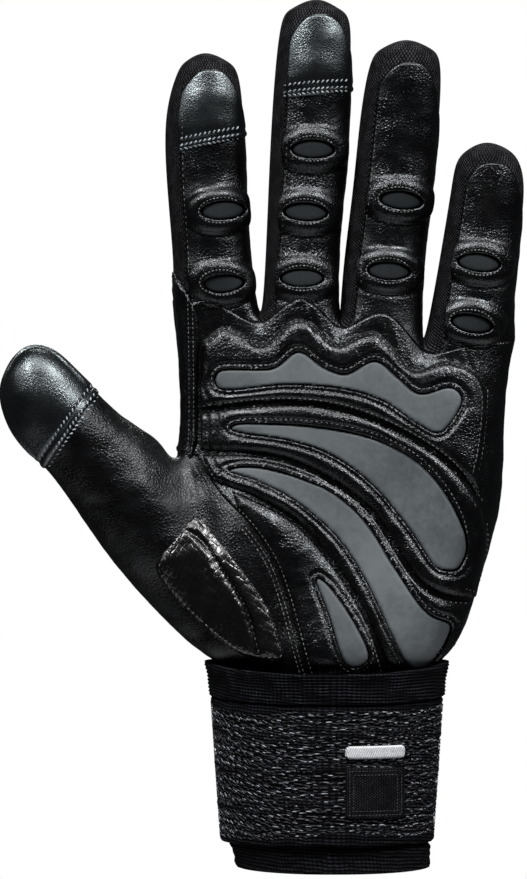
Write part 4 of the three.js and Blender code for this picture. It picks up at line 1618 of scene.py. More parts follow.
@dataclass(frozen=True)
class SoftForms:
    """The forms that the leather takes over its padding and beside its seams."""

    thickness: float = 0.45
    pillow_rise: float = 1.5
    pillow_up: float = 6.6
    pillow_down: float = 5.4
    pillow_half: float = 11.0
    roll_rise: float = 1.15
    roll_start: float = 0.9
    roll_width: float = 4.2
    roll_power: float = 0.9
    crease_depth: float = 0.3
    crease_width: float = 0.9
    groove_depth: float = 0.08
    groove_width: float = 0.3
    gather_rise: float = 0.32
    gather_pitch: float = 2.6
    swell_rise: float = 0.2
    tuck_rise: float = 0.12
    tuck_pitch: float = 2.9

    def rolls(self, patch: Patch) -> Array:
        """Height of the pillows under the oval inserts and of the rolls round them.

        Args:
            patch: the leather.

        Returns:
            The height at each point.
        """
        x, z = patch.x, patch.z
        height = np.zeros(len(x))
        for oval in ALL_INSERTS:
            out, up = oval.distance(x, z), z - oval.z
            spread = np.where(up > 0, self.pillow_up, self.pillow_down)
            pillow = np.exp(-((up / spread) ** 2) - ((x - oval.x) / self.pillow_half) ** 4)
            share = np.clip((out + self.roll_start) / (self.roll_width + self.roll_start), 0, 1)
            roll = np.clip(4 * share * (1 - share), 0, 1) ** self.roll_power
            crease = ridge(out, self.roll_width, self.crease_width) * step_between(-up, -2, 4)
            groove = ridge(out, INSERT_SEAM, self.groove_width)
            height += self.pillow_rise * pillow + self.roll_rise * roll
            height -= self.crease_depth * crease + self.groove_depth * groove
        return height * patch.squarely()

    def gathers(self, patch: Patch) -> Array:
        """Height of the gathered leather beside the index strip.

        Args:
            patch: the leather.

        Returns:
            The height at each point.
        """
        x, z = patch.x, patch.z
        near = step_between(-x, 26, 33) * step_between(z, 104, 110) * (1 - step_between(z, 138, 146))
        return near * self.gather_rise * wave(x + 0.22 * z + 0.8 * np.sin(z / 3.1), self.gather_pitch)

    def swell(self, patch: Patch) -> Array:
        """Height of the soft leather that swells above the wavy seam.

        Args:
            patch: the leather.

        Returns:
            The height at each point.
        """
        out = region_distance(PAD_REGIONS["wave"], patch.x, patch.z)
        tucks = wave(patch.x + 0.3 * patch.z, self.tuck_pitch) * (1 - step_between(out, 1, 6))
        swell = step_between(out, 0.1, 1.2) * (1 - step_between(out, 2, 12))
        return step_between(patch.z, 132, 145) * (self.swell_rise * swell + self.tuck_rise * tucks)


FORMS = SoftForms()


def soft_creases(patch: Patch, *layers: Triple) -> Array:
    """Uneven height of soft leather, from smooth noise in space.

    Args:
        patch: the surface.
        layers: for each layer, its lumps' size, their greatest height and its place in the noise.

    Returns:
        The height at each point.
    """
    return sum(depth * np.array([
        noise.noise(Vector((x / size + seed, y / size, 1.6 * z / size))) for x, y, z in patch.points
    ]) for size, depth, seed in layers)


@dataclass
class Fingers:
    """The four fingers: leather fronts with rolls, knit tubes, inserts and touch tips."""

    shop: Workshop
    knit_rise: float = -0.1
    left_angle: float = -40.0
    right_angle: float = 56.0
    last_angle: float = 98.0
    arch: float = 6.5
    side_slope: float = 1.9
    round_mm: float = 10.5
    edge_step: Pair = (-0.1, 0.9)
    edge_drop: float = 0.1
    skirt: float = 0.7
    tops: dict = field(default_factory=lambda: dict(index=229.6, middle=245.2, ring=232.2, little=204.0))
    rubber_points: int = 56
    rubber_gap: float = 0.1
    rubber_insets: tuple = (0.05, 0.07, 0.16, 0.2, 0.2)
    rubber_seat: float = 1.05
    rubber_rise: float = 0.8
    rubber_power: int = 14
    rubber_crown: float = 0.06
    rubber_skirt: float = 1.0
    tip_lines: dict = field(default_factory=lambda: dict(index=(206.8, 3.2), middle=(221.6, 1.6)))
    tip_half: float = 8.0
    tip_overlap: float = 0.5
    tip_edge_width: float = 1.1
    tip_seat: float = 0.1
    tip_rise: float = 0.95
    tip_seam_at: Pair = (2.2, 0.6)
    tip_groove: float = 0.3
    tip_pad: float = 0.85
    tip_pad_half: float = 13.0
    tip_creases: tuple = (9, 0.25, 3)

    def build(self) -> None:
        """Makes all the pieces of the fingers."""
        for name in FINGER_ROWS:
            self.knit(name)
            self.leather(name)
            for i, oval in enumerate(INSERTS[name]):
                self.insert(f"{name}_insert_{i + 1}", oval)
            if name in self.tip_lines:
                self.touch_tip(name)

    def tube(self, skin: Skin, name: str) -> Patch:
        """A finger's whole surface, which carries the distance round it from the front's middle.

        Args:
            skin: the glove's surface at some fineness.
            name: the finger.

        Returns:
            The surface.
        """
        patch = skin.patch(f"{name}_leather", f"{name}_knit")
        middle, half, depth, y = (between_rows(FINGER_ROWS[name], patch.z, size)
                                  for size in ("middle", "half", "depth", "y"))
        patch.carry(np.arctan2((patch.x - middle) / half, -(patch.y - y) / depth) * self.round_mm)
        return patch

    def past_edge(self, name: str, patch: Patch, raised: float = 0.0) -> Array:
        """Signed distance past the leather's left side, its rounded top and its right side.

        Args:
            name: the finger.
            patch: its surface, which carries the distance round it.
            raised: how much higher the top lies.

        Returns:
            The distance at each point, negative on the leather.
        """
        turned = patch.carried
        left, right, last = (math.radians(a) * self.round_mm
                             for a in (self.left_angle, self.right_angle, self.last_angle))
        middle, half = (left + right) / 2, (right - left) / 2
        share = np.abs(turned - middle) / half
        beyond = np.clip(share - 1, 0, None) * half
        fall = self.arch * np.minimum(share, 1) ** 3 + beyond * self.side_slope
        slope = np.where(share < 1, self.arch * 3 * share**2 / half, self.side_slope)
        top = (patch.z - (self.tops[name] + raised - fall)) / np.hypot(1, slope)
        return np.maximum.reduce([top, left - turned, turned - last])

    def leather(self, name: str) -> None:
        """The leather front, raised in rolls round the inserts and open at them.

        Args:
            name: the finger.
        """
        patch = self.tube(self.shop.fine, name)
        patch = open_windows(patch.clipped(self.past_edge(name, patch)), INSERTS[name])
        edge = step_between(-self.past_edge(name, patch), *self.edge_step)
        height = FORMS.thickness * edge + self.edge_drop * (edge - 1) + FORMS.rolls(patch) * edge
        height += FORMS.swell(patch) + soft_creases(patch, *LEATHER_CREASES)
        self.shop.lay(f"{name}_front", patch.raised(height), self.skirt, self.shop.wardrobe.leather,
                      Slot.LEATHER, f"{name}_leather")

    def knit(self, name: str) -> None:
        """The knit tube that shows at the side, over the tip and at the back."""
        patch = self.tube(self.shop.middle, name).raised(self.knit_rise)
        self.shop.lay(f"{name}_side_knit", patch, 0, self.shop.wardrobe.knit, Slot.KNIT, f"{name}_knit")

    def insert(self, name: str, oval: Oval) -> None:
        """A crowned oval of rubber in its window.

        Args:
            name: the plain node that it stands for.
            oval: the window's oval.
        """
        deselect()
        bpy.ops.mesh.primitive_circle_add(vertices=self.rubber_points, radius=1.0, fill_type="NGON")
        disc = bpy.context.object
        bpy.ops.object.mode_set(mode="EDIT")
        bpy.ops.mesh.select_all(action="SELECT")
        for thickness in self.rubber_insets:
            bpy.ops.mesh.inset(thickness=thickness)
        bpy.ops.object.mode_set(mode="OBJECT")
        flat = np.array([vertex.co for vertex in disc.data.vertices])
        faces = [list(face.vertices) for face in disc.data.polygons]
        bpy.data.objects.remove(disc)
        long, short = oval.half_long - self.rubber_gap, oval.half_short - self.rubber_gap
        rows = self.shop.middle.laid(*oval.placed(long * flat[:, 0], short * flat[:, 1]))
        patch = Patch(rows, faces)
        if np.mean([self.facing(patch, face) for face in faces[:20]]) < 0:
            patch = Patch(rows, [face[::-1] for face in faces])
        reach = np.hypot(flat[:, 0], flat[:, 1])
        dome = self.rubber_rise * np.sqrt(np.clip(1 - reach**self.rubber_power, 0, 1))
        patch = patch.raised(self.rubber_seat + dome + self.rubber_crown * (1 - reach**2))
        self.shop.lay(f"{name}_rubber", patch, self.rubber_skirt, self.shop.wardrobe.insert,
                      Slot.INSERT, name, crisp=True)

    @staticmethod
    def facing(patch: Patch, face: list[int]) -> float:
        """Whether a face points out along the patch's normals, as a sign."""
        a, b, c = (Vector(patch.points[corner]) for corner in face[:3])
        return (b - a).cross(c - b).dot(Vector(patch.normals[face[0]]))

    def above_tip_line(self, name: str, patch: Patch) -> Array:
        """Height above the slanting line where a finger's touch leather starts."""
        low, rise = self.tip_lines[name]
        return patch.z - low - rise * (patch.carried + self.tip_half) / (2 * self.tip_half)

    def touch_tip(self, name: str) -> None:
        """The glossy touch leather over the fingertip.

        Args:
            name: the finger.
        """
        patch = self.tube(self.shop.fine, name)
        patch = patch.clipped(self.past_edge(name, patch, self.tip_overlap))
        patch = patch.clipped(-self.above_tip_line(name, patch))
        base = self.above_tip_line(name, patch)
        inside = np.minimum(-self.past_edge(name, patch, self.tip_overlap), base)
        pad = self.tip_pad * step_between(base, 0, 7) * (1 - step_between(base, 8, 21))
        pad *= 1 - (patch.carried / self.tip_pad_half) ** 2
        height = self.tip_seat + self.tip_rise * rounded_edge(inside, self.tip_edge_width) + pad
        height += soft_creases(patch, self.tip_creases) - self.tip_groove * ridge(base, *self.tip_seam_at)
        self.shop.lay(f"{name}_touch", patch.raised(height), self.skirt, self.shop.wardrobe.touch,
                      Slot.TOUCH, f"{name}_touch_tip")


@dataclass
class Hand:
    """The palm and thumb leather, the knit back and the touch cap of the thumb."""

    shop: Workshop
    skirt: float = 0.9
    edge_step: Pair = (-0.1, 1.0)
    cord_rise: float = 0.65
    cord_at: Pair = (0.75, 0.5)
    thumb_overlap: float = 2.0
    thumb_round: float = 0.35
    thumb_rise: float = 0.1
    thumb_creases: tuple = (3.4, 0.08, 9)
    thumb_broad_creases: tuple = (11, 0.5, 2)
    cap_from: Pair = (-64, 141)
    cap_to: Pair = (-83, 114)
    cap_y: float = 2.0
    cap_skirt: float = 0.7
    cap_edge_width: float = 1.0
    cap_seat: float = 0.1
    cap_rise: float = 0.6
    cap_seam_at: Pair = (2.4, 0.6)
    cap_groove: float = 0.3
    cap_rim: float = 0.6
    cap_rim_at: Pair = (0.36, 0.08)
    cap_creases: tuple = (10, 0.2, 7)
    back_rise: float = -0.1
    back_skirt: float = 1.0

    def build(self) -> None:
        """Makes all the pieces of the hand."""
        self.palm()
        self.thumb()
        self.thumb_cap()
        self.backs()

    def palm(self) -> None:
        """The palm leather under and around the pads, with a corded edge at the thumb seam."""
        patch = self.shop.middle.patch("palm", "back")
        patch = patch.clipped(patch.y - self.rim_y(patch.x))
        patch.carry(region_distance(THUMB_SIDE, patch.x, patch.z))
        patch = open_windows(patch.clipped(-patch.carried), ALL_INSERTS)
        edge = step_between(np.minimum(patch.carried, self.rim_y(patch.x) - patch.y), *self.edge_step)
        height = FORMS.thickness * edge + FORMS.rolls(patch) + FORMS.swell(patch)
        height += self.cord_rise * ridge(patch.carried, *self.cord_at)
        height += soft_creases(patch, *LEATHER_CREASES)
        patch.carry(patch.x)
        self.shop.lay("palm_front", patch.raised(height), self.skirt, self.shop.wardrobe.leather,
                      Slot.LEATHER, "palm_leather")

    @staticmethod
    def rim_y(x: Array) -> Array:
        """How far round each side the palm's leather goes."""
        return 0.3 + 1.4 * step_between(x, 0, 30)

    def thumb(self) -> None:
        """The thumb's leather, which runs under the palm's edge at the thumb seam."""
        patch = self.shop.middle.patch("palm", "thumb", "thumb_back", "back")
        patch = patch.clipped(region_distance(THUMB_SIDE, patch.x, patch.z) - self.thumb_overlap)
        patch = patch.clipped((-patch.ahead - self.thumb_round) * 10)
        lumps = soft_creases(patch, self.thumb_broad_creases) * step_between(patch.ahead, 0.0, 0.4)
        height = self.thumb_rise + soft_creases(patch, self.thumb_creases) + lumps
        self.shop.lay("thumb_front", patch.raised(height), self.skirt, self.shop.wardrobe.thumb,
                      Slot.LEATHER, "thumb_leather")

    def cap_distance(self, x: Array, z: Array) -> Array:
        """Signed distance below the line where the thumb's cap starts."""
        (ax, az), (bx, bz) = self.cap_from, self.cap_to
        return ((x - ax) * (bz - az) - (z - az) * (bx - ax)) / -math.hypot(bx - ax, bz - az)

    def thumb_cap(self) -> None:
        """The touch leather over the thumb's tip."""
        patch = self.shop.fine.patch("thumb", "thumb_back")
        patch.carry(self.cap_distance(patch.x, patch.z))
        patch = patch.clipped(patch.carried)
        patch = patch.clipped(patch.y - self.cap_y)
        inside = -patch.carried
        rim = self.cap_rim * ridge(patch.ahead, *self.cap_rim_at) * step_between(inside, 2, 6)
        height = self.cap_seat + self.cap_rise * rounded_edge(inside, self.cap_edge_width) + rim
        height += soft_creases(patch, self.cap_creases) - self.cap_groove * ridge(inside, *self.cap_seam_at)
        self.shop.lay("thumb_touch", patch.raised(height), self.cap_skirt, self.shop.wardrobe.touch,
                      Slot.TOUCH, "thumb_touch_cap")

    def backs(self) -> None:
        """The knit back of the hand and of the thumb."""
        for name, panel, node in (("hand_back_knit", "back", "hand_back"),
                                  ("thumb_back_knit", "thumb_back", "thumb_back")):
            patch = self.shop.middle.patch(panel).raised(self.back_rise)
            piece = patch_object(name, patch.skirted(self.back_skirt))
            self.shop.dress(piece, self.shop.wardrobe.back, Slot.KNIT, [node])


@dataclass
class Pads:
    """The padded rolls between the seams, with a grip inlay in each one's window."""

    shop: Workshop
    step: float = 0.45
    groove: float = 0.4
    rise: float = 2.8
    low_edge: float = 58.5
    shoulder: dict = field(default_factory=lambda: dict(wave=2.6, upper=3.2, lower=3.2, drop=6.0))
    wave_step: Pair = (141, 149)
    wave_slope: float = 1.0
    lip_share: float = 0.66
    lip_width: float = 3.0
    seam_at: Pair = (1.35, 0.5)
    seam_depth: float = 0.5
    tuck_rise: float = 0.1
    tuck_pitch: float = 1.9
    pad_skirt: float = 0.35
    pad_fill: float = 0.7
    grip_gap: float = 0.18
    grip_rise: float = 1.75
    grip_edge: Pair = (0.35, 0.7)
    grip_skirt: float = 1.0
    divider_share: float = 2.6
    scales_rise: Pair = (0.35, 1.55)
    scales_power: float = 1.7
    scales_creases: tuple = (4, 0.2, 11)
    scales_skirt: float = 0.6
    scales_fill: float = 0.4
    strip_right: float = -30.0
    strip_y: float = 2.5
    strip_seat: float = 0.3
    strip_side_share: float = 0.3
    strip_edge: Pair = (0.75, 0.9)
    strip_cord: float = 0.7
    strip_cord_at: Pair = (0.6, 0.42)
    strip_creases: tuple = (3, 0.2, 6)
    strip_skirt: float = 0.7

    def build(self) -> None:
        """Makes the pads, the grips, the ball patch and the side strip."""
        for name in GRIPS:
            self.pad(name)
            self.grip(name)
        self.thenar_patch()
        self.side_strip()

    def cut(self, outline: Array, distance: Distance, lowest: float = -FAR) -> Patch:
        """A fine patch of the palm side.

        Args:
            outline: an outline that it stays within, one row a point.
            distance: signed distance at x and z, negative where the patch stays.
            lowest: the z that it doesn't pass.

        Returns:
            The patch.
        """
        low, high = outline.min(axis=0) - 1, outline.max(axis=0) + 1
        low[1] = max(low[1], lowest)
        return front_grid(self.shop.middle, distance, low, high, self.step)

    @staticmethod
    def under_wrap(z: Array) -> Array:
        """How much of its height the leather keeps, which is less under the wrap's hem."""
        return HEM_SHARE + (1 - HEM_SHARE) * step_between(z, *HEM_STEP)

    def pad(self, name: str) -> None:
        """One padded piece of leather with its window.

        Args:
            name: the pad.
        """
        region, window = PAD_REGIONS[name], GRIP_LINES[name]

        def distance(x: Array, z: Array) -> Array:
            """Distance past the pad's edge or into its window."""
            outer = region_distance(region, x, z) + self.groove
            return np.maximum(outer, WINDOW_GAP - region_distance(window, x, z))

        patch = self.cut(region, distance, self.low_edge)
        from_seam = np.clip(-region_distance(region, patch.x, patch.z) - self.groove, 0, None)
        from_window = np.clip(region_distance(window, patch.x, patch.z), 0, None)
        upper = step_between(patch.z, *self.wave_step) * (name == "wave")
        shoulder = rounded_edge(from_seam, self.shoulder[name] + self.wave_slope * upper)
        puff = shoulder * (1 - upper) + shoulder**2 * upper
        lip = self.lip_share + (1 - self.lip_share) * rounded_edge(from_window, self.lip_width)
        sewn = self.seam_depth * ridge(from_window, *self.seam_at)
        height = FORMS.thickness + (self.rise - FORMS.thickness) * puff * lip - sewn * puff
        tucks = wave(patch.x + 0.3 * patch.z + 0.9 * np.sin(patch.x / 2.3), self.tuck_pitch)
        height += self.tuck_rise * tucks * (1 - step_between(from_seam, 2, 7)) * upper
        height += soft_creases(patch, *PAD_CREASES) + FORMS.gathers(patch)
        self.shop.lay(f"pad_{name}_leather", patch.raised(height * self.under_wrap(patch.z)),
                      self.pad_skirt, self.shop.wardrobe.leather, Slot.LEATHER, f"pad_{name}", self.pad_fill)

    def grip(self, name: str) -> None:
        """One inlay of grip rubber with a softened edge.

        Args:
            name: the pad that it lies in.
        """
        window = GRIP_LINES[name]

        def distance(x: Array, z: Array) -> Array:
            """Distance past the inlay's edge."""
            return region_distance(window, x, z) + self.grip_gap

        patch = self.cut(window, distance)
        drop, width = self.grip_edge
        height = self.grip_rise - drop + drop * rounded_edge(-distance(patch.x, patch.z), width)
        self.shop.lay(f"grip_{name}_rubber", patch.raised(height * self.under_wrap(patch.z)),
                      self.grip_skirt, self.shop.wardrobe.grip, Slot.GRIP, f"grip_{name}", crisp=True)

    def thenar_patch(self) -> None:
        """The scaled patch on the ball of the thumb, sewn in two puffed fields."""
        outline = smooth_line(THENAR_PATCH, 1.2, closed=True)
        divider = smooth_line(THENAR_DIVIDER)

        def distance(x: Array, z: Array) -> Array:
            """Distance past the patch's edge."""
            return region_distance(outline, x, z)

        patch = self.cut(outline, distance)
        from_divider = self.divider_share * line_distance(divider, patch.x, patch.z)
        inside = np.minimum(-distance(patch.x, patch.z), from_divider)
        puff = 1 - (1 - np.clip(inside / self.scales_slope(patch), 0, 1)) ** self.scales_power
        flat, rise = self.scales_rise
        height = (flat + rise * puff + soft_creases(patch, self.scales_creases)) * self.under_wrap(patch.z)
        self.shop.lay("thenar_scales", patch.raised(height), self.scales_skirt, self.shop.wardrobe.scale,
                      Slot.SCALE, "thenar_patch", self.scales_fill)

    @staticmethod
    def scales_slope(patch: Patch) -> Array:
        """How far in the scaled patch rises: a broad slope above and a narrow one below."""
        return 2.2 + 3.0 * step_between(patch.x + patch.z, 44, 52)

    def side_strip(self) -> None:
        """The leather strip sewn along the index finger's side."""
        patch = self.shop.fine.patch("palm", "index_leather", "index_knit", "back")
        patch = patch.clipped(patch.x - self.strip_right)
        outline = resampled(np.array([*SIDE_STRIP, SIDE_STRIP[0]], float), 1.0)
        patch.carry(np.maximum(region_distance(outline, patch.x, patch.z), patch.y - self.strip_y))
        patch = patch.clipped(patch.carried)
        inside = -patch.carried
        edge_rise, edge_width = self.strip_edge
        cord = self.strip_cord * ridge(inside, *self.strip_cord_at) * step_between(-patch.y, 0, 4)
        height = self.strip_seat + edge_rise * rounded_edge(inside, edge_width) + cord
        height *= self.strip_side_share + (1 - self.strip_side_share) * patch.squarely()
        height += FORMS.swell(patch) + soft_creases(patch, self.strip_creases)
        patch.carry(patch.x)
        self.shop.lay("index_strip", patch.raised(height), self.strip_skirt, self.shop.wardrobe.leather,
                      Slot.LEATHER, "index_side_strip")


@dataclass(frozen=True)
class WrapRow:
    """A level of the wrist wrap: z, half the wrist's width, the front's dip and a shift to the right."""

    z: float
    half: float
    dip: float
    shift: float = 0.0


@dataclass(frozen=True)
class Plate:
    """A plain raised mark on the wrap: its sides, levels and rise."""

    left: float
    right: float
    low: float
    high: float
    rise: float


SLEEVE = (
    WrapRow(3.6, 26.2, 0.8, 1.8), WrapRow(9.4, 27, 0, 1.0), WrapRow(12, 26.6, 0),
    WrapRow(34, 28.1, 0), WrapRow(57.4, 29.7, 2),
)
STRAP = (WrapRow(11, 26.6, 0), WrapRow(31, 28, 0), WrapRow(51.8, 29.4, 1.6))
HEM = (WrapRow(52.3, 29.5, 1.6), WrapRow(57.4, 30.1, 2), WrapRow(62.2, 31, 2.8))


@dataclass
class WristWrap:
    """The elastic wrap: the inner turn, the outer turn, its top hem, the tab and the plain marks."""

    shop: Workshop
    ratio: float = 0.71
    middle_x: float = -0.9
    dip_power: float = 1.5
    sleeve_wall: float = 1.5
    strap_wall: float = 1.8
    hem_wall: float = 2.1
    tab_wall: float = 1.2
    layer_gap: float = 0.4
    round_off: float = 0.5
    step: float = 0.5
    turn_step: float = 1.45
    end_step: Pair = (-0.5, 1.6)
    end_share: float = 0.35
    ride_from: float = 330.0
    ride_turn: float = 30.0
    fold_rises: Pair = (0.16, 0.1)
    rib_pitch: float = 1.05
    row_rise: float = 0.13
    row_pitch: float = 2.4
    dice: random.Random = field(default_factory=lambda: random.Random(7))
    float_base: float = 13.4
    float_reach: float = 38.0
    float_levels: Pair = (12.6, 50.2)
    float_gap: float = 2.2
    float_seat: float = 0.12
    float_wander: float = 0.5
    float_tilt: float = 0.1
    float_slant: float = 0.2475
    float_slant_behind: float = 0.4
    float_wide: float = 0.16
    float_high: float = 0.14
    plate_step: float = 0.3
    plate_corner: float = 1.2
    plate_edge: float = 0.6
    plate_seat: float = 0.1
    plate_skirt: float = 0.6
    satin_rise: float = 0.12
    satin_pitch: float = 0.6
    twill_rise: float = 0.07
    twill_pitch: float = 1.2
    border_depth: float = 0.12
    border_at: Pair = (1.3, 0.25)
    patch_plate: Plate = Plate(4, 21, 18.6, 33.4, 0.7)
    bar_plate: Plate = Plate(4, 21, 36, 40, 0.9)

    def build(self) -> None:
        """Makes all the pieces of the wrap."""
        on_sleeve = self.sleeve_wall + self.layer_gap
        full = self.strap_wall + self.layer_gap
        self.band("wrap_inner_turn", SLEEVE, "wrap_sleeve", self.sleeve_wall, 0.0)
        self.band("wrap_outer_turn", STRAP, "wrap_strap", self.strap_wall, on_sleeve,
                  start=60, sweep=425, ramp=full)
        self.band("wrap_hem", HEM, "wrap_top_hem", self.hem_wall, on_sleeve, step=0.28, ribs=0.16)
        self.band("wrap_closing_tab", STRAP[1:], "wrap_tab", self.tab_wall, on_sleeve + 2 * full,
                  start=92, sweep=26)
        lift = on_sleeve + self.strap_wall
        self.float_rows("wrap_floats", lift, 2.35, 5.6, (0.9, 2.1), self.shop.wardrobe.floats)
        self.float_rows("wrap_fine_floats", lift, 1.18, 4.6, (0.8, 2.6), self.shop.wardrobe.fine_floats)
        self.mark("wrap_plain_patch", "wrap_patch", self.patch_plate, self.shop.wardrobe.twill, Slot.ELASTIC)
        self.mark("wrap_plain_bar", "wrap_bar", self.bar_plate, self.shop.wardrobe.satin, Slot.THREAD)

    def section(self, rows: Sequence[WrapRow], wall: float, step: float) -> list[Triple]:
        """The closed section of a band.

        Args:
            rows: its levels.
            wall: its thickness.
            step: the distance between the points of its outer face.

        Returns:
            For each point its z, how far out it lies and how much of the relief it takes.
        """
        low, high = rows[0].z, rows[-1].z
        bend = min(self.round_off, wall / 2)
        levels = np.linspace(low + bend, high - bend, max(4, round((high - low) / step)))
        top = [(high - 0.15 * bend, wall - 0.4 * bend, 0.5), (high, wall / 2, 0.0),
               (high - 0.15 * bend, 0.4 * bend, 0.0)]
        bottom = [(low + 0.15 * bend, 0.4 * bend, 0.0), (low, wall / 2, 0.0),
                  (low + 0.15 * bend, wall - 0.4 * bend, 0.5)]
        inner = [(z, 0.0, 0.0) for z in np.linspace(high - bend, low + bend, 6)]
        return [*((z, wall, 1.0) for z in levels), *top, *inner, *bottom]

    def place(self, rows: Sequence[WrapRow], degrees: Array, z: Array,
              out: Array) -> Array:
        """Points of the wrap.

        Args:
            rows: the levels that give its size.
            degrees: their angles round the wrist.
            z: their levels.
            out: how far out from the wrist they lie.

        Returns:
            Their x, y and z.
        """
        half, dip, shift = (between_rows(rows, z, size) for size in ("half", "dip", "shift"))
        angle = np.radians(degrees)
        cosine, sine = np.cos(angle), np.sin(angle)
        power = 2 / CROWN_POWER
        x = self.middle_x + shift + (half + out) * np.sign(cosine) * np.abs(cosine) ** power
        y = (half * self.ratio + out) * np.sign(sine) * np.abs(sine) ** power
        return np.stack([x, y, z - dip * np.maximum(0, -sine) ** self.dip_power], axis=-1)

    @staticmethod
    def sway(angle: Array | float) -> Array | float:
        """How far the rows of knit and of yarn wander up and down round the wrist."""
        return 1.2 * np.sin(2 * angle + 0.6) + 0.7 * np.sin(5 * angle)

    def relief(self, degrees: Array, z: Array, ribs: float) -> Array:
        """Soft folds round the wrist, with the ribs of the hem or the rows of the knit.

        Args:
            degrees: the angle of each point round the wrist.
            z: its level.
            ribs: the height of the hem's ribs, 0 for the knit's rows.

        Returns:
            The height at each point.
        """
        angle = np.radians(degrees)
        sway = self.sway(angle) + 0.4 * np.sin(9 * angle + z / 9)
        broad, narrow = self.fold_rises
        folds = broad * np.sin((z + sway) * 0.62) + narrow * np.sin((z - sway) * 1.1 + 3 * angle)
        if ribs:
            return folds * 0.5 + ribs * wave(z + 0.25 * sway, self.rib_pitch)
        return folds + self.row_rise * wave(z + 1.1 * sway, self.row_pitch)

    def band(self, name: str, rows: Sequence[WrapRow], node: str, wall: float, lift: float,
             start: float = 0.0, sweep: float = 360.0, ramp: float = 0.0, step: float | None = None,
             ribs: float = 0.0) -> None:
        """A wall round the wrist, or part of the way, which may ride up over its own start.

        Args:
            name: the piece's name.
            rows: its levels.
            node: the plain node that it stands for.
            wall: its thickness.
            lift: its distance from the wrist.
            start: the angle where it starts, in degrees.
            sweep: how far it goes round.
            ramp: how far its last part rides up.
            step: the distance between points up the wall, the usual one unless given.
            ribs: the height of its ribs.
        """
        closed = sweep == 360
        count = round(sweep / self.turn_step)
        angles = start + np.linspace(0, sweep, count, endpoint=not closed)
        section = np.array(self.section(rows, wall, step or self.step))
        degrees = np.repeat(angles, len(section))
        z, out, share = np.tile(section, (count, 1)).T
        ride = ramp * np.clip((degrees - start - self.ride_from) / self.ride_turn, 0, 1)
        from_end = np.minimum(degrees - start, start + sweep - degrees)
        taper = 1.0 if closed else step_between(from_end, *self.end_step)
        puff = self.end_share + (1 - self.end_share) * taper
        outward = lift + ride + (out + share * self.relief(degrees, z, ribs)) * puff
        points = self.place(rows, degrees, z, outward)
        around = np.radians(degrees) * rows[0].half * 0.9
        loop = len(section)
        faces = []
        for i in range(count if closed else count - 1):
            here, after = i * loop, (i + 1) % count * loop
            for j in range(loop):
                above = (j + 1) % loop
                faces.append([here + j, after + j, after + above, here + above])
        if not closed:
            faces.append(list(range(loop)))
            faces.append([(count - 1) * loop + j for j in reversed(range(loop))])
        piece = mesh_object(name, points, faces, np.stack([around, z], axis=1))
        self.shop.dress(piece, self.shop.wardrobe.elastic, Slot.ELASTIC, [node])

    def float_rows(self, name: str, lift: float, pitch: float, widest: float,
                   lengths_mm: Pair, material: Material) -> None:
        """Short raised yarns that lie in wavy rows over the outer turn.

        Args:
            name: the piece's name.
            lift: the outer face's distance from the wrist.
            pitch: the distance between rows.
            widest: the widest gap between two yarns, in degrees.
            lengths_mm: the shortest and longest yarn.
            material: their finish.
        """
        centres, ways, outs = [], [], []
        lowest, highest = self.float_levels
        seat = lift + self.float_seat
        for row in range(int(self.float_reach / pitch)):
            degrees = 0.0
            while degrees < 360:
                level = self.float_base + pitch * row - 1.1 * self.sway(math.radians(degrees))
                level += self.dice.uniform(-self.float_wander, self.float_wander)
                degrees += self.dice.uniform(self.float_gap, widest)
                if not lowest < level < highest:
                    continue
                leftward = max(0.0, -math.cos(math.radians(degrees)))
                leftward *= 1 if degrees > 180 else self.float_slant_behind
                tilt = self.dice.uniform(-self.float_tilt, self.float_tilt)
                drop = tilt - self.float_slant * leftward
                turns, levels = degrees + np.array((0, 1, 0)), level + np.array((0, drop, 0))
                here, next_to, further = self.place(STRAP, turns, levels, seat + np.array((0, 0, 1)))
                centres.append(Vector(here))
                ways.append(Vector(next_to - here))
                outs.append(Vector(further - here))
        lengths = [self.dice.uniform(*lengths_mm) for _ in centres]
        piece = Stitches.joined(name, centres, ways, outs, lengths, self.float_wide, self.float_high)
        self.shop.dress(piece, material, Slot.ELASTIC)

    def mark(self, name: str, node: str, plate: Plate, material: Material, slot: Slot) -> None:
        """A raised plate with rounded corners that follows the wrap's front.

        Args:
            name: the piece's name.
            node: the plain node that it stands for.
            plate: its sizes.
            material: its material.
            slot: the record's slot that it stands for.
        """
        lift = self.sleeve_wall + self.layer_gap + self.strap_wall
        columns = np.arange(plate.left, plate.right + self.plate_step / 2, self.plate_step)
        levels = np.arange(plate.low, plate.high + self.plate_step / 2, self.plate_step)
        x, z = (grid.ravel() for grid in np.meshgrid(columns, levels))
        inside = np.minimum.reduce([x - plate.left, plate.right - x, z - plate.low, plate.high - z])
        cx = np.clip(x, plate.left + self.plate_corner, plate.right - self.plate_corner)
        cz = np.clip(z, plate.low + self.plate_corner, plate.high - self.plate_corner)
        rounded = self.plate_corner - np.hypot(x - cx, z - cz)
        inside = np.minimum(inside, np.where((cx != x) & (cz != z), rounded, inside))
        if slot is Slot.THREAD:
            weave = self.satin_rise * np.abs(wave(x + 0.25 * z, 2 * self.satin_pitch))
        else:
            weave = self.twill_rise * wave(x + z, self.twill_pitch)
            weave -= self.border_depth * ridge(inside, *self.border_at)
        out = lift + self.plate_seat + plate.rise * rounded_edge(inside, self.plate_edge) + weave
        half = between_rows(STRAP, z, "half")
        cosine = np.clip((x - self.middle_x) / (half + lift + plate.rise), -1, 1)
        degrees = -np.degrees(np.arccos(np.sign(cosine) * np.abs(cosine) ** (CROWN_POWER / 2)))
        points = self.place(STRAP, degrees, z, out)
        cells = grid_cells(len(columns), len(levels))
        faces = cells[(inside > -0.05)[cells].all(axis=1)].tolist()
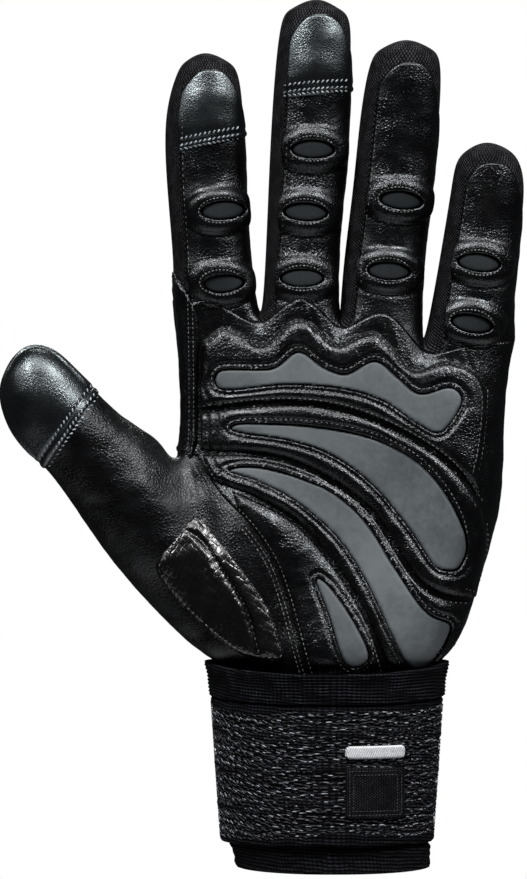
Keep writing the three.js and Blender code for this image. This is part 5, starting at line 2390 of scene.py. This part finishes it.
        normals = np.tile((0.0, -1.0, 0.0), (len(points), 1))
        patch = Patch(np.hstack([points, normals, x[:, None], z[:, None]]), faces).compact()
        self.shop.dress(patch_object(name, patch.skirted(self.plate_skirt)), material, slot, [node])
        if slot is Slot.THREAD:
            return
        sewing = Stitches(self.shop, DressedFront().include(patch))
        for inset, title in ((1.2, "outer"), (2.3, "inner")):
            a, b, c, d = plate.left + inset, plate.low + inset, plate.right - inset, plate.high - inset
            border = resampled(np.array([(a, b), (c, b), (c, d), (a, d), (a, b)], float), 0.5)
            sewing.sew(f"{name}_{title}_stitches", [border], Thread(0.95, 0.75, 0.14),
                       self.shop.wardrobe.fine_floats)


@dataclass(frozen=True)
class Thread:
    """The stitches of a row: their spacing, length, half width and turn off the row."""

    spacing: float
    length: float
    wide: float = 0.14
    slant: float = 0.0


@dataclass
class Stitches:
    """Rows of thread laid on the dressed front."""

    shop: Workshop
    front: DressedFront
    seat: float = 0.02
    edge_share: float = 0.57
    grip_out: float = 1.35
    strip_rows: tuple = ((-39.2, 166), (-38.9, 150), (-38.9, 128), (-39.6, 121.5))
    palm_side: tuple = ((44.6, 139), (44.2, 131), (43.3, 124), (41.7, 115.5))
    heel_side: tuple = ((38.4, 83), (40.6, 82.2))
    tip_ends: dict = field(default_factory=lambda: dict(
        index=((-42.2, 207.9), (-26.4, 211.0)), middle=((-12.9, 223), (4.4, 224.5))))
    tip_rows: tuple = ((-0.4, -0.6), (0.75, 0.6), (2.6, 0.8))
    cap_ends: tuple = ((-64.6, 139.6), (-82.0, 114.6))
    cap_way: Pair = (-0.80, 0.60)
    cap_rows: tuple = ((-0.3, -0.6), (0.9, 0.6), (3.1, 0.7))

    @staticmethod
    def model() -> tuple[Array, list[list[int]]]:
        """One stitch, modelled once: a slim lens of thread of unit length and radius."""
        deselect()
        bpy.ops.mesh.primitive_uv_sphere_add(segments=6, ring_count=5, radius=1.0,
                                             rotation=(0, math.pi / 2, 0))
        bead = bpy.context.object
        bpy.ops.object.transform_apply(location=True, rotation=True, scale=True)
        points = np.array([vertex.co for vertex in bead.data.vertices])
        faces = [list(face.vertices) for face in bead.data.polygons]
        bpy.data.objects.remove(bead)
        points[:, 0] = np.sign(points[:, 0]) * np.abs(points[:, 0]) ** 0.7
        return points, faces

    @classmethod
    def joined(cls, name: str, centres: Sequence[Vector], ways: Sequence[Vector], outs: Sequence[Vector],
               lengths: Sequence[float], wide: float, high: float) -> bpy.types.Object:
        """All the stitches of a row as one mesh.

        Args:
            name: the piece's name.
            centres: the middle of each stitch.
            ways: its direction.
            outs: the direction away from the surface.
            lengths: its length.
            wide: half its width.
            high: half its height.

        Returns:
            The object.
        """
        shape, shape_faces = cls.model()
        points, faces = [], []
        for centre, way, out, length in zip(centres, ways, outs, lengths):
            out = out.normalized()
            along = (way - out * way.dot(out)).normalized()
            start = len(points) * len(shape)
            axes = np.array([along * (length / 2), out.cross(along) * wide, out * high])
            points.append(shape @ axes + np.array(centre))
            faces += [[start + corner for corner in face] for face in shape_faces]
        return mesh_object(name, np.vstack(points), faces)

    def row(self, line: Array, thread: Thread, closed: bool) -> list[tuple[Vector, Vector, Vector]]:
        """Where the stitches of a line lie.

        Args:
            line: the line in the front view, one row a point.
            thread: the stitches' sizes.
            closed: whether its last point joins its first.

        Returns:
            For each stitch its middle, its direction and its outward direction.
        """
        if closed:
            line = np.vstack([line, line[:1]])
        even = resampled(line, thread.spacing, closed)
        ways = np.gradient(even, axis=0)
        if closed:
            ways = np.roll(even, -1, axis=0) - np.roll(even, 1, axis=0)
        found = []
        for (x, z), (wx, wz) in zip(even, ways):
            turn = math.atan2(wz, wx) + thread.slant
            dx, dz = 0.3 * thread.length * math.cos(turn), 0.3 * thread.length * math.sin(turn)
            ends = [self.front.at(x - dx, z - dz), self.front.at(x + dx, z + dz)]
            if None in ends:
                continue
            (a, na), (b, nb) = ends
            if (b - a).length > 2.5 * thread.length:
                continue
            out = (na + nb).normalized()
            found.append(((a + b) / 2 + out * self.seat, b - a, out))
        return found

    def sew(self, name: str, lines: Sequence[Array], thread: Thread,
            material: Material | None = None, rings: Sequence[Array] = ()) -> None:
        """One piece with the stitches of several lines.

        Args:
            name: the piece's name.
            lines: the open lines in the front view.
            thread: the stitches' sizes.
            material: their finish, the seams' thread unless given.
            rings: the closed lines in the front view.
        """
        found = [stitch for ring in rings for stitch in self.row(ring, thread, True)]
        found += [stitch for line in lines for stitch in self.row(line, thread, False)]
        if not found:
            return
        lengths = [thread.length] * len(found)
        piece = self.joined(name, *zip(*found), lengths, thread.wide, thread.wide * 0.9)
        self.shop.dress(piece, material or self.shop.wardrobe.thread, Slot.THREAD)

    @staticmethod
    def outward(outline: Array, distance: float) -> Array:
        """A closed outline moved out by a distance, or in where that is negative."""
        grows = region_distance(outline, *beside(outline, 1.0).T).mean() > 0
        return beside(outline, distance if grows else -distance)

    def build(self) -> None:
        """Sews every visible row of stitches."""
        for finger, ovals in INSERTS.items():
            rings = [oval.outline(INSERT_SEAM, 72) for oval in ovals]
            self.sew(f"{finger}_insert_stitches", (), Thread(1.05, 0.66, 0.2), rings=rings)
        for name, window in GRIP_LINES.items():
            rings = [self.outward(window, self.grip_out)]
            self.sew(f"grip_{name}_stitches", (), Thread(1.45, 0.85, 0.15), rings=rings)
        seams = [beside(SEAM_LINES[name], out) for name, out in (
            ("wave", -1.25), ("first", -1.25), ("first", 1.25), ("second", -1.2), ("third", -1.2))]
        self.sew("pad_seam_stitches", seams, Thread(1.5, 0.95))
        thumb = [beside(SEAM_LINES["thumb"], out) for out in (-1.1, -2.2, 1.1)]
        self.sew("thumb_seam_stitches", thumb, Thread(1.4, 0.85))
        strip = np.array(self.strip_rows)
        pair = [smooth_line(strip - (inset, 0)) for inset in (0, 1.3)]
        self.sew("index_strip_stitches", pair, Thread(1.3, 0.8))
        side = [smooth_line(self.palm_side), beside(SEAM_LINES["heel_upper"], 0.8),
                smooth_line(self.heel_side)]
        self.sew("palm_edge_stitches", side, Thread(1.5, 0.9, 0.15))
        self.scales()
        self.tips()
        self.finger_edges()

    def scales(self) -> None:
        """The stitches round and across the scaled patch."""
        border = self.outward(smooth_line(THENAR_PATCH, closed=True), -0.9)
        self.sew("thenar_stitches", [smooth_line(THENAR_DIVIDER)], Thread(1.7, 0.8), rings=[border])

    def finger_edges(self) -> None:
        """The row of stitches along the left edge of each finger's leather."""
        lines = []
        for rows in FINGER_ROWS.values():
            levels = np.linspace(rows[0].z - 4, rows[2].z, 40)
            x = between_rows(rows, levels, "middle") - between_rows(rows, levels, "half") * self.edge_share
            lines.append(np.stack([x, levels], axis=1))
        self.sew("finger_edge_stitches", lines, Thread(1.7, 0.7, 0.12))

    def tips(self) -> None:
        """The rows at the base of the touch leather and of the thumb's cap."""
        # the tip rows' pale grey thread is a painted sheen on black thread
        bright = self.shop.wardrobe.bright
        for finger, ends in self.tip_ends.items():
            base = np.linspace(*np.array(ends), 24)
            for i, (rise, slant) in enumerate(self.tip_rows):
                thread = Thread(1.35, 1.15, 0.25, slant)
                self.sew(f"{finger}_tip_stitches_{i + 1}", [base + (0, rise)], thread, bright)
        base = np.linspace(*np.array(self.cap_ends), 30)
        for i, (rise, slant) in enumerate(self.cap_rows):
            lines = [base + rise * np.array(self.cap_way)]
            self.sew(f"thumb_cap_stitches_{i + 1}", lines, Thread(1.4, 1.15, 0.26, slant), bright)


@dataclass
class Studio:
    """The floor, the lights, the surroundings and the camera."""

    aim: Triple = (-0.019, 0.0, 0.1221)
    distance: float = 1.3
    picture_height: float = 0.2511
    floor_z: float = -0.8
    floor_radius: float = 0.9
    floor_tones: tuple = ((0.80, 0.80, 0.81), (0.86, 0.86, 0.86))
    sensor_mm: float = 36.0
    dim_tone: tuple = (0.9, 0.95, 1.0, 1)
    dim_strength: float = 0.03
    boxes: tuple = (
        ("key", (-0.62, -0.8, 1.2), 0.36, 17.0),
        ("top_right", (0.72, -0.75, 1.2), 0.36, 17.0),
        ("top", (0.0, -0.65, 1.35), 0.45, 7.0),
        ("right", (1.1, -0.5, 0.8), 0.3, 2.0),
        ("left", (-1.1, -0.5, 0.8), 0.3, 2.0),
        ("behind", (0.0, 1.0, 1.1), 0.5, 8.0),
    )
    box_shape: float = 1.3

    def build(self) -> None:
        """Makes the studio."""
        self.camera()
        self.floor()
        self.lights()
        self.surroundings()
        bpy.context.scene.view_settings.view_transform = "Standard"

    def camera(self) -> None:
        """A camera square on to the palm, as in the photograph."""
        data = bpy.data.cameras.new("camera")
        data.sensor_width = self.sensor_mm
        data.lens = data.sensor_width * self.distance / self.picture_height
        camera = bpy.data.objects.new("camera", data)
        camera.location = (self.aim[0], self.aim[1] - self.distance, self.aim[2])
        camera.rotation_euler = (math.pi / 2, 0, 0)
        bpy.context.scene.collection.objects.link(camera)
        bpy.context.scene.camera = camera

    def floor(self) -> None:
        """A pale floor well below the glove."""
        deselect()
        bpy.ops.mesh.primitive_circle_add(vertices=96, radius=self.floor_radius, fill_type="NGON",
                                          location=(0, 0, self.floor_z))
        floor = bpy.context.object
        floor.name = "studio_floor"
        sheet = NodeSheet("studio_floor")
        tone = sheet.mixed(sheet.noise(400, 2), *self.floor_tones)
        floor.data.materials.append(sheet.finished({"Base Color": tone, "Roughness": 0.7}))

    def lights(self) -> None:
        """Softboxes above, to both sides and behind."""
        for name, place, size, power in self.boxes:
            data = bpy.data.lights.new(name, "AREA")
            data.shape = "RECTANGLE"
            data.size = size
            data.size_y = size * self.box_shape
            data.energy = power
            light = bpy.data.objects.new(name, data)
            light.location = place
            aim = Vector((self.aim[0], 0, self.aim[2])) - Vector(place)
            light.rotation_euler = aim.to_track_quat("-Z", "Y").to_euler()
            bpy.context.scene.collection.objects.link(light)

    def surroundings(self) -> None:
        """White to the eye, and a dim even grey to the glove's reflections."""
        sheet = NodeSheet("studio", bpy.data.worlds)
        seen = sheet.node("ShaderNodeLightPath").outputs["Is Camera Ray"]
        dim, white = (sheet.node("ShaderNodeBackground", values={"Color": tone, "Strength": strength})
                      for tone, strength in ((self.dim_tone, self.dim_strength), ((1, 1, 1, 1), 1.0)))
        both = sheet.node("ShaderNodeMixShader", values={0: seen, 1: dim.outputs[0], 2: white.outputs[0]})
        sheet.node("ShaderNodeOutputWorld", values={"Surface": both.outputs[0]})
        bpy.context.scene.world = sheet.owner


def main() -> None:
    """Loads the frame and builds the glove's sub-assemblies in order."""
    logging.basicConfig(level=logging.INFO, format="%(name)s: %(message)s")
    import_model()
    Studio().build()
    form = GloveForm()
    shop = Workshop(Skin(form, 5), Skin(form, 4), Wardrobe())
    form.remove()
    Hand(shop).build()
    Fingers(shop).build()
    Pads(shop).build()
    WristWrap(shop).build()
    Stitches(shop, shop.dressed).build()


if __name__ == "__main__":
    main()
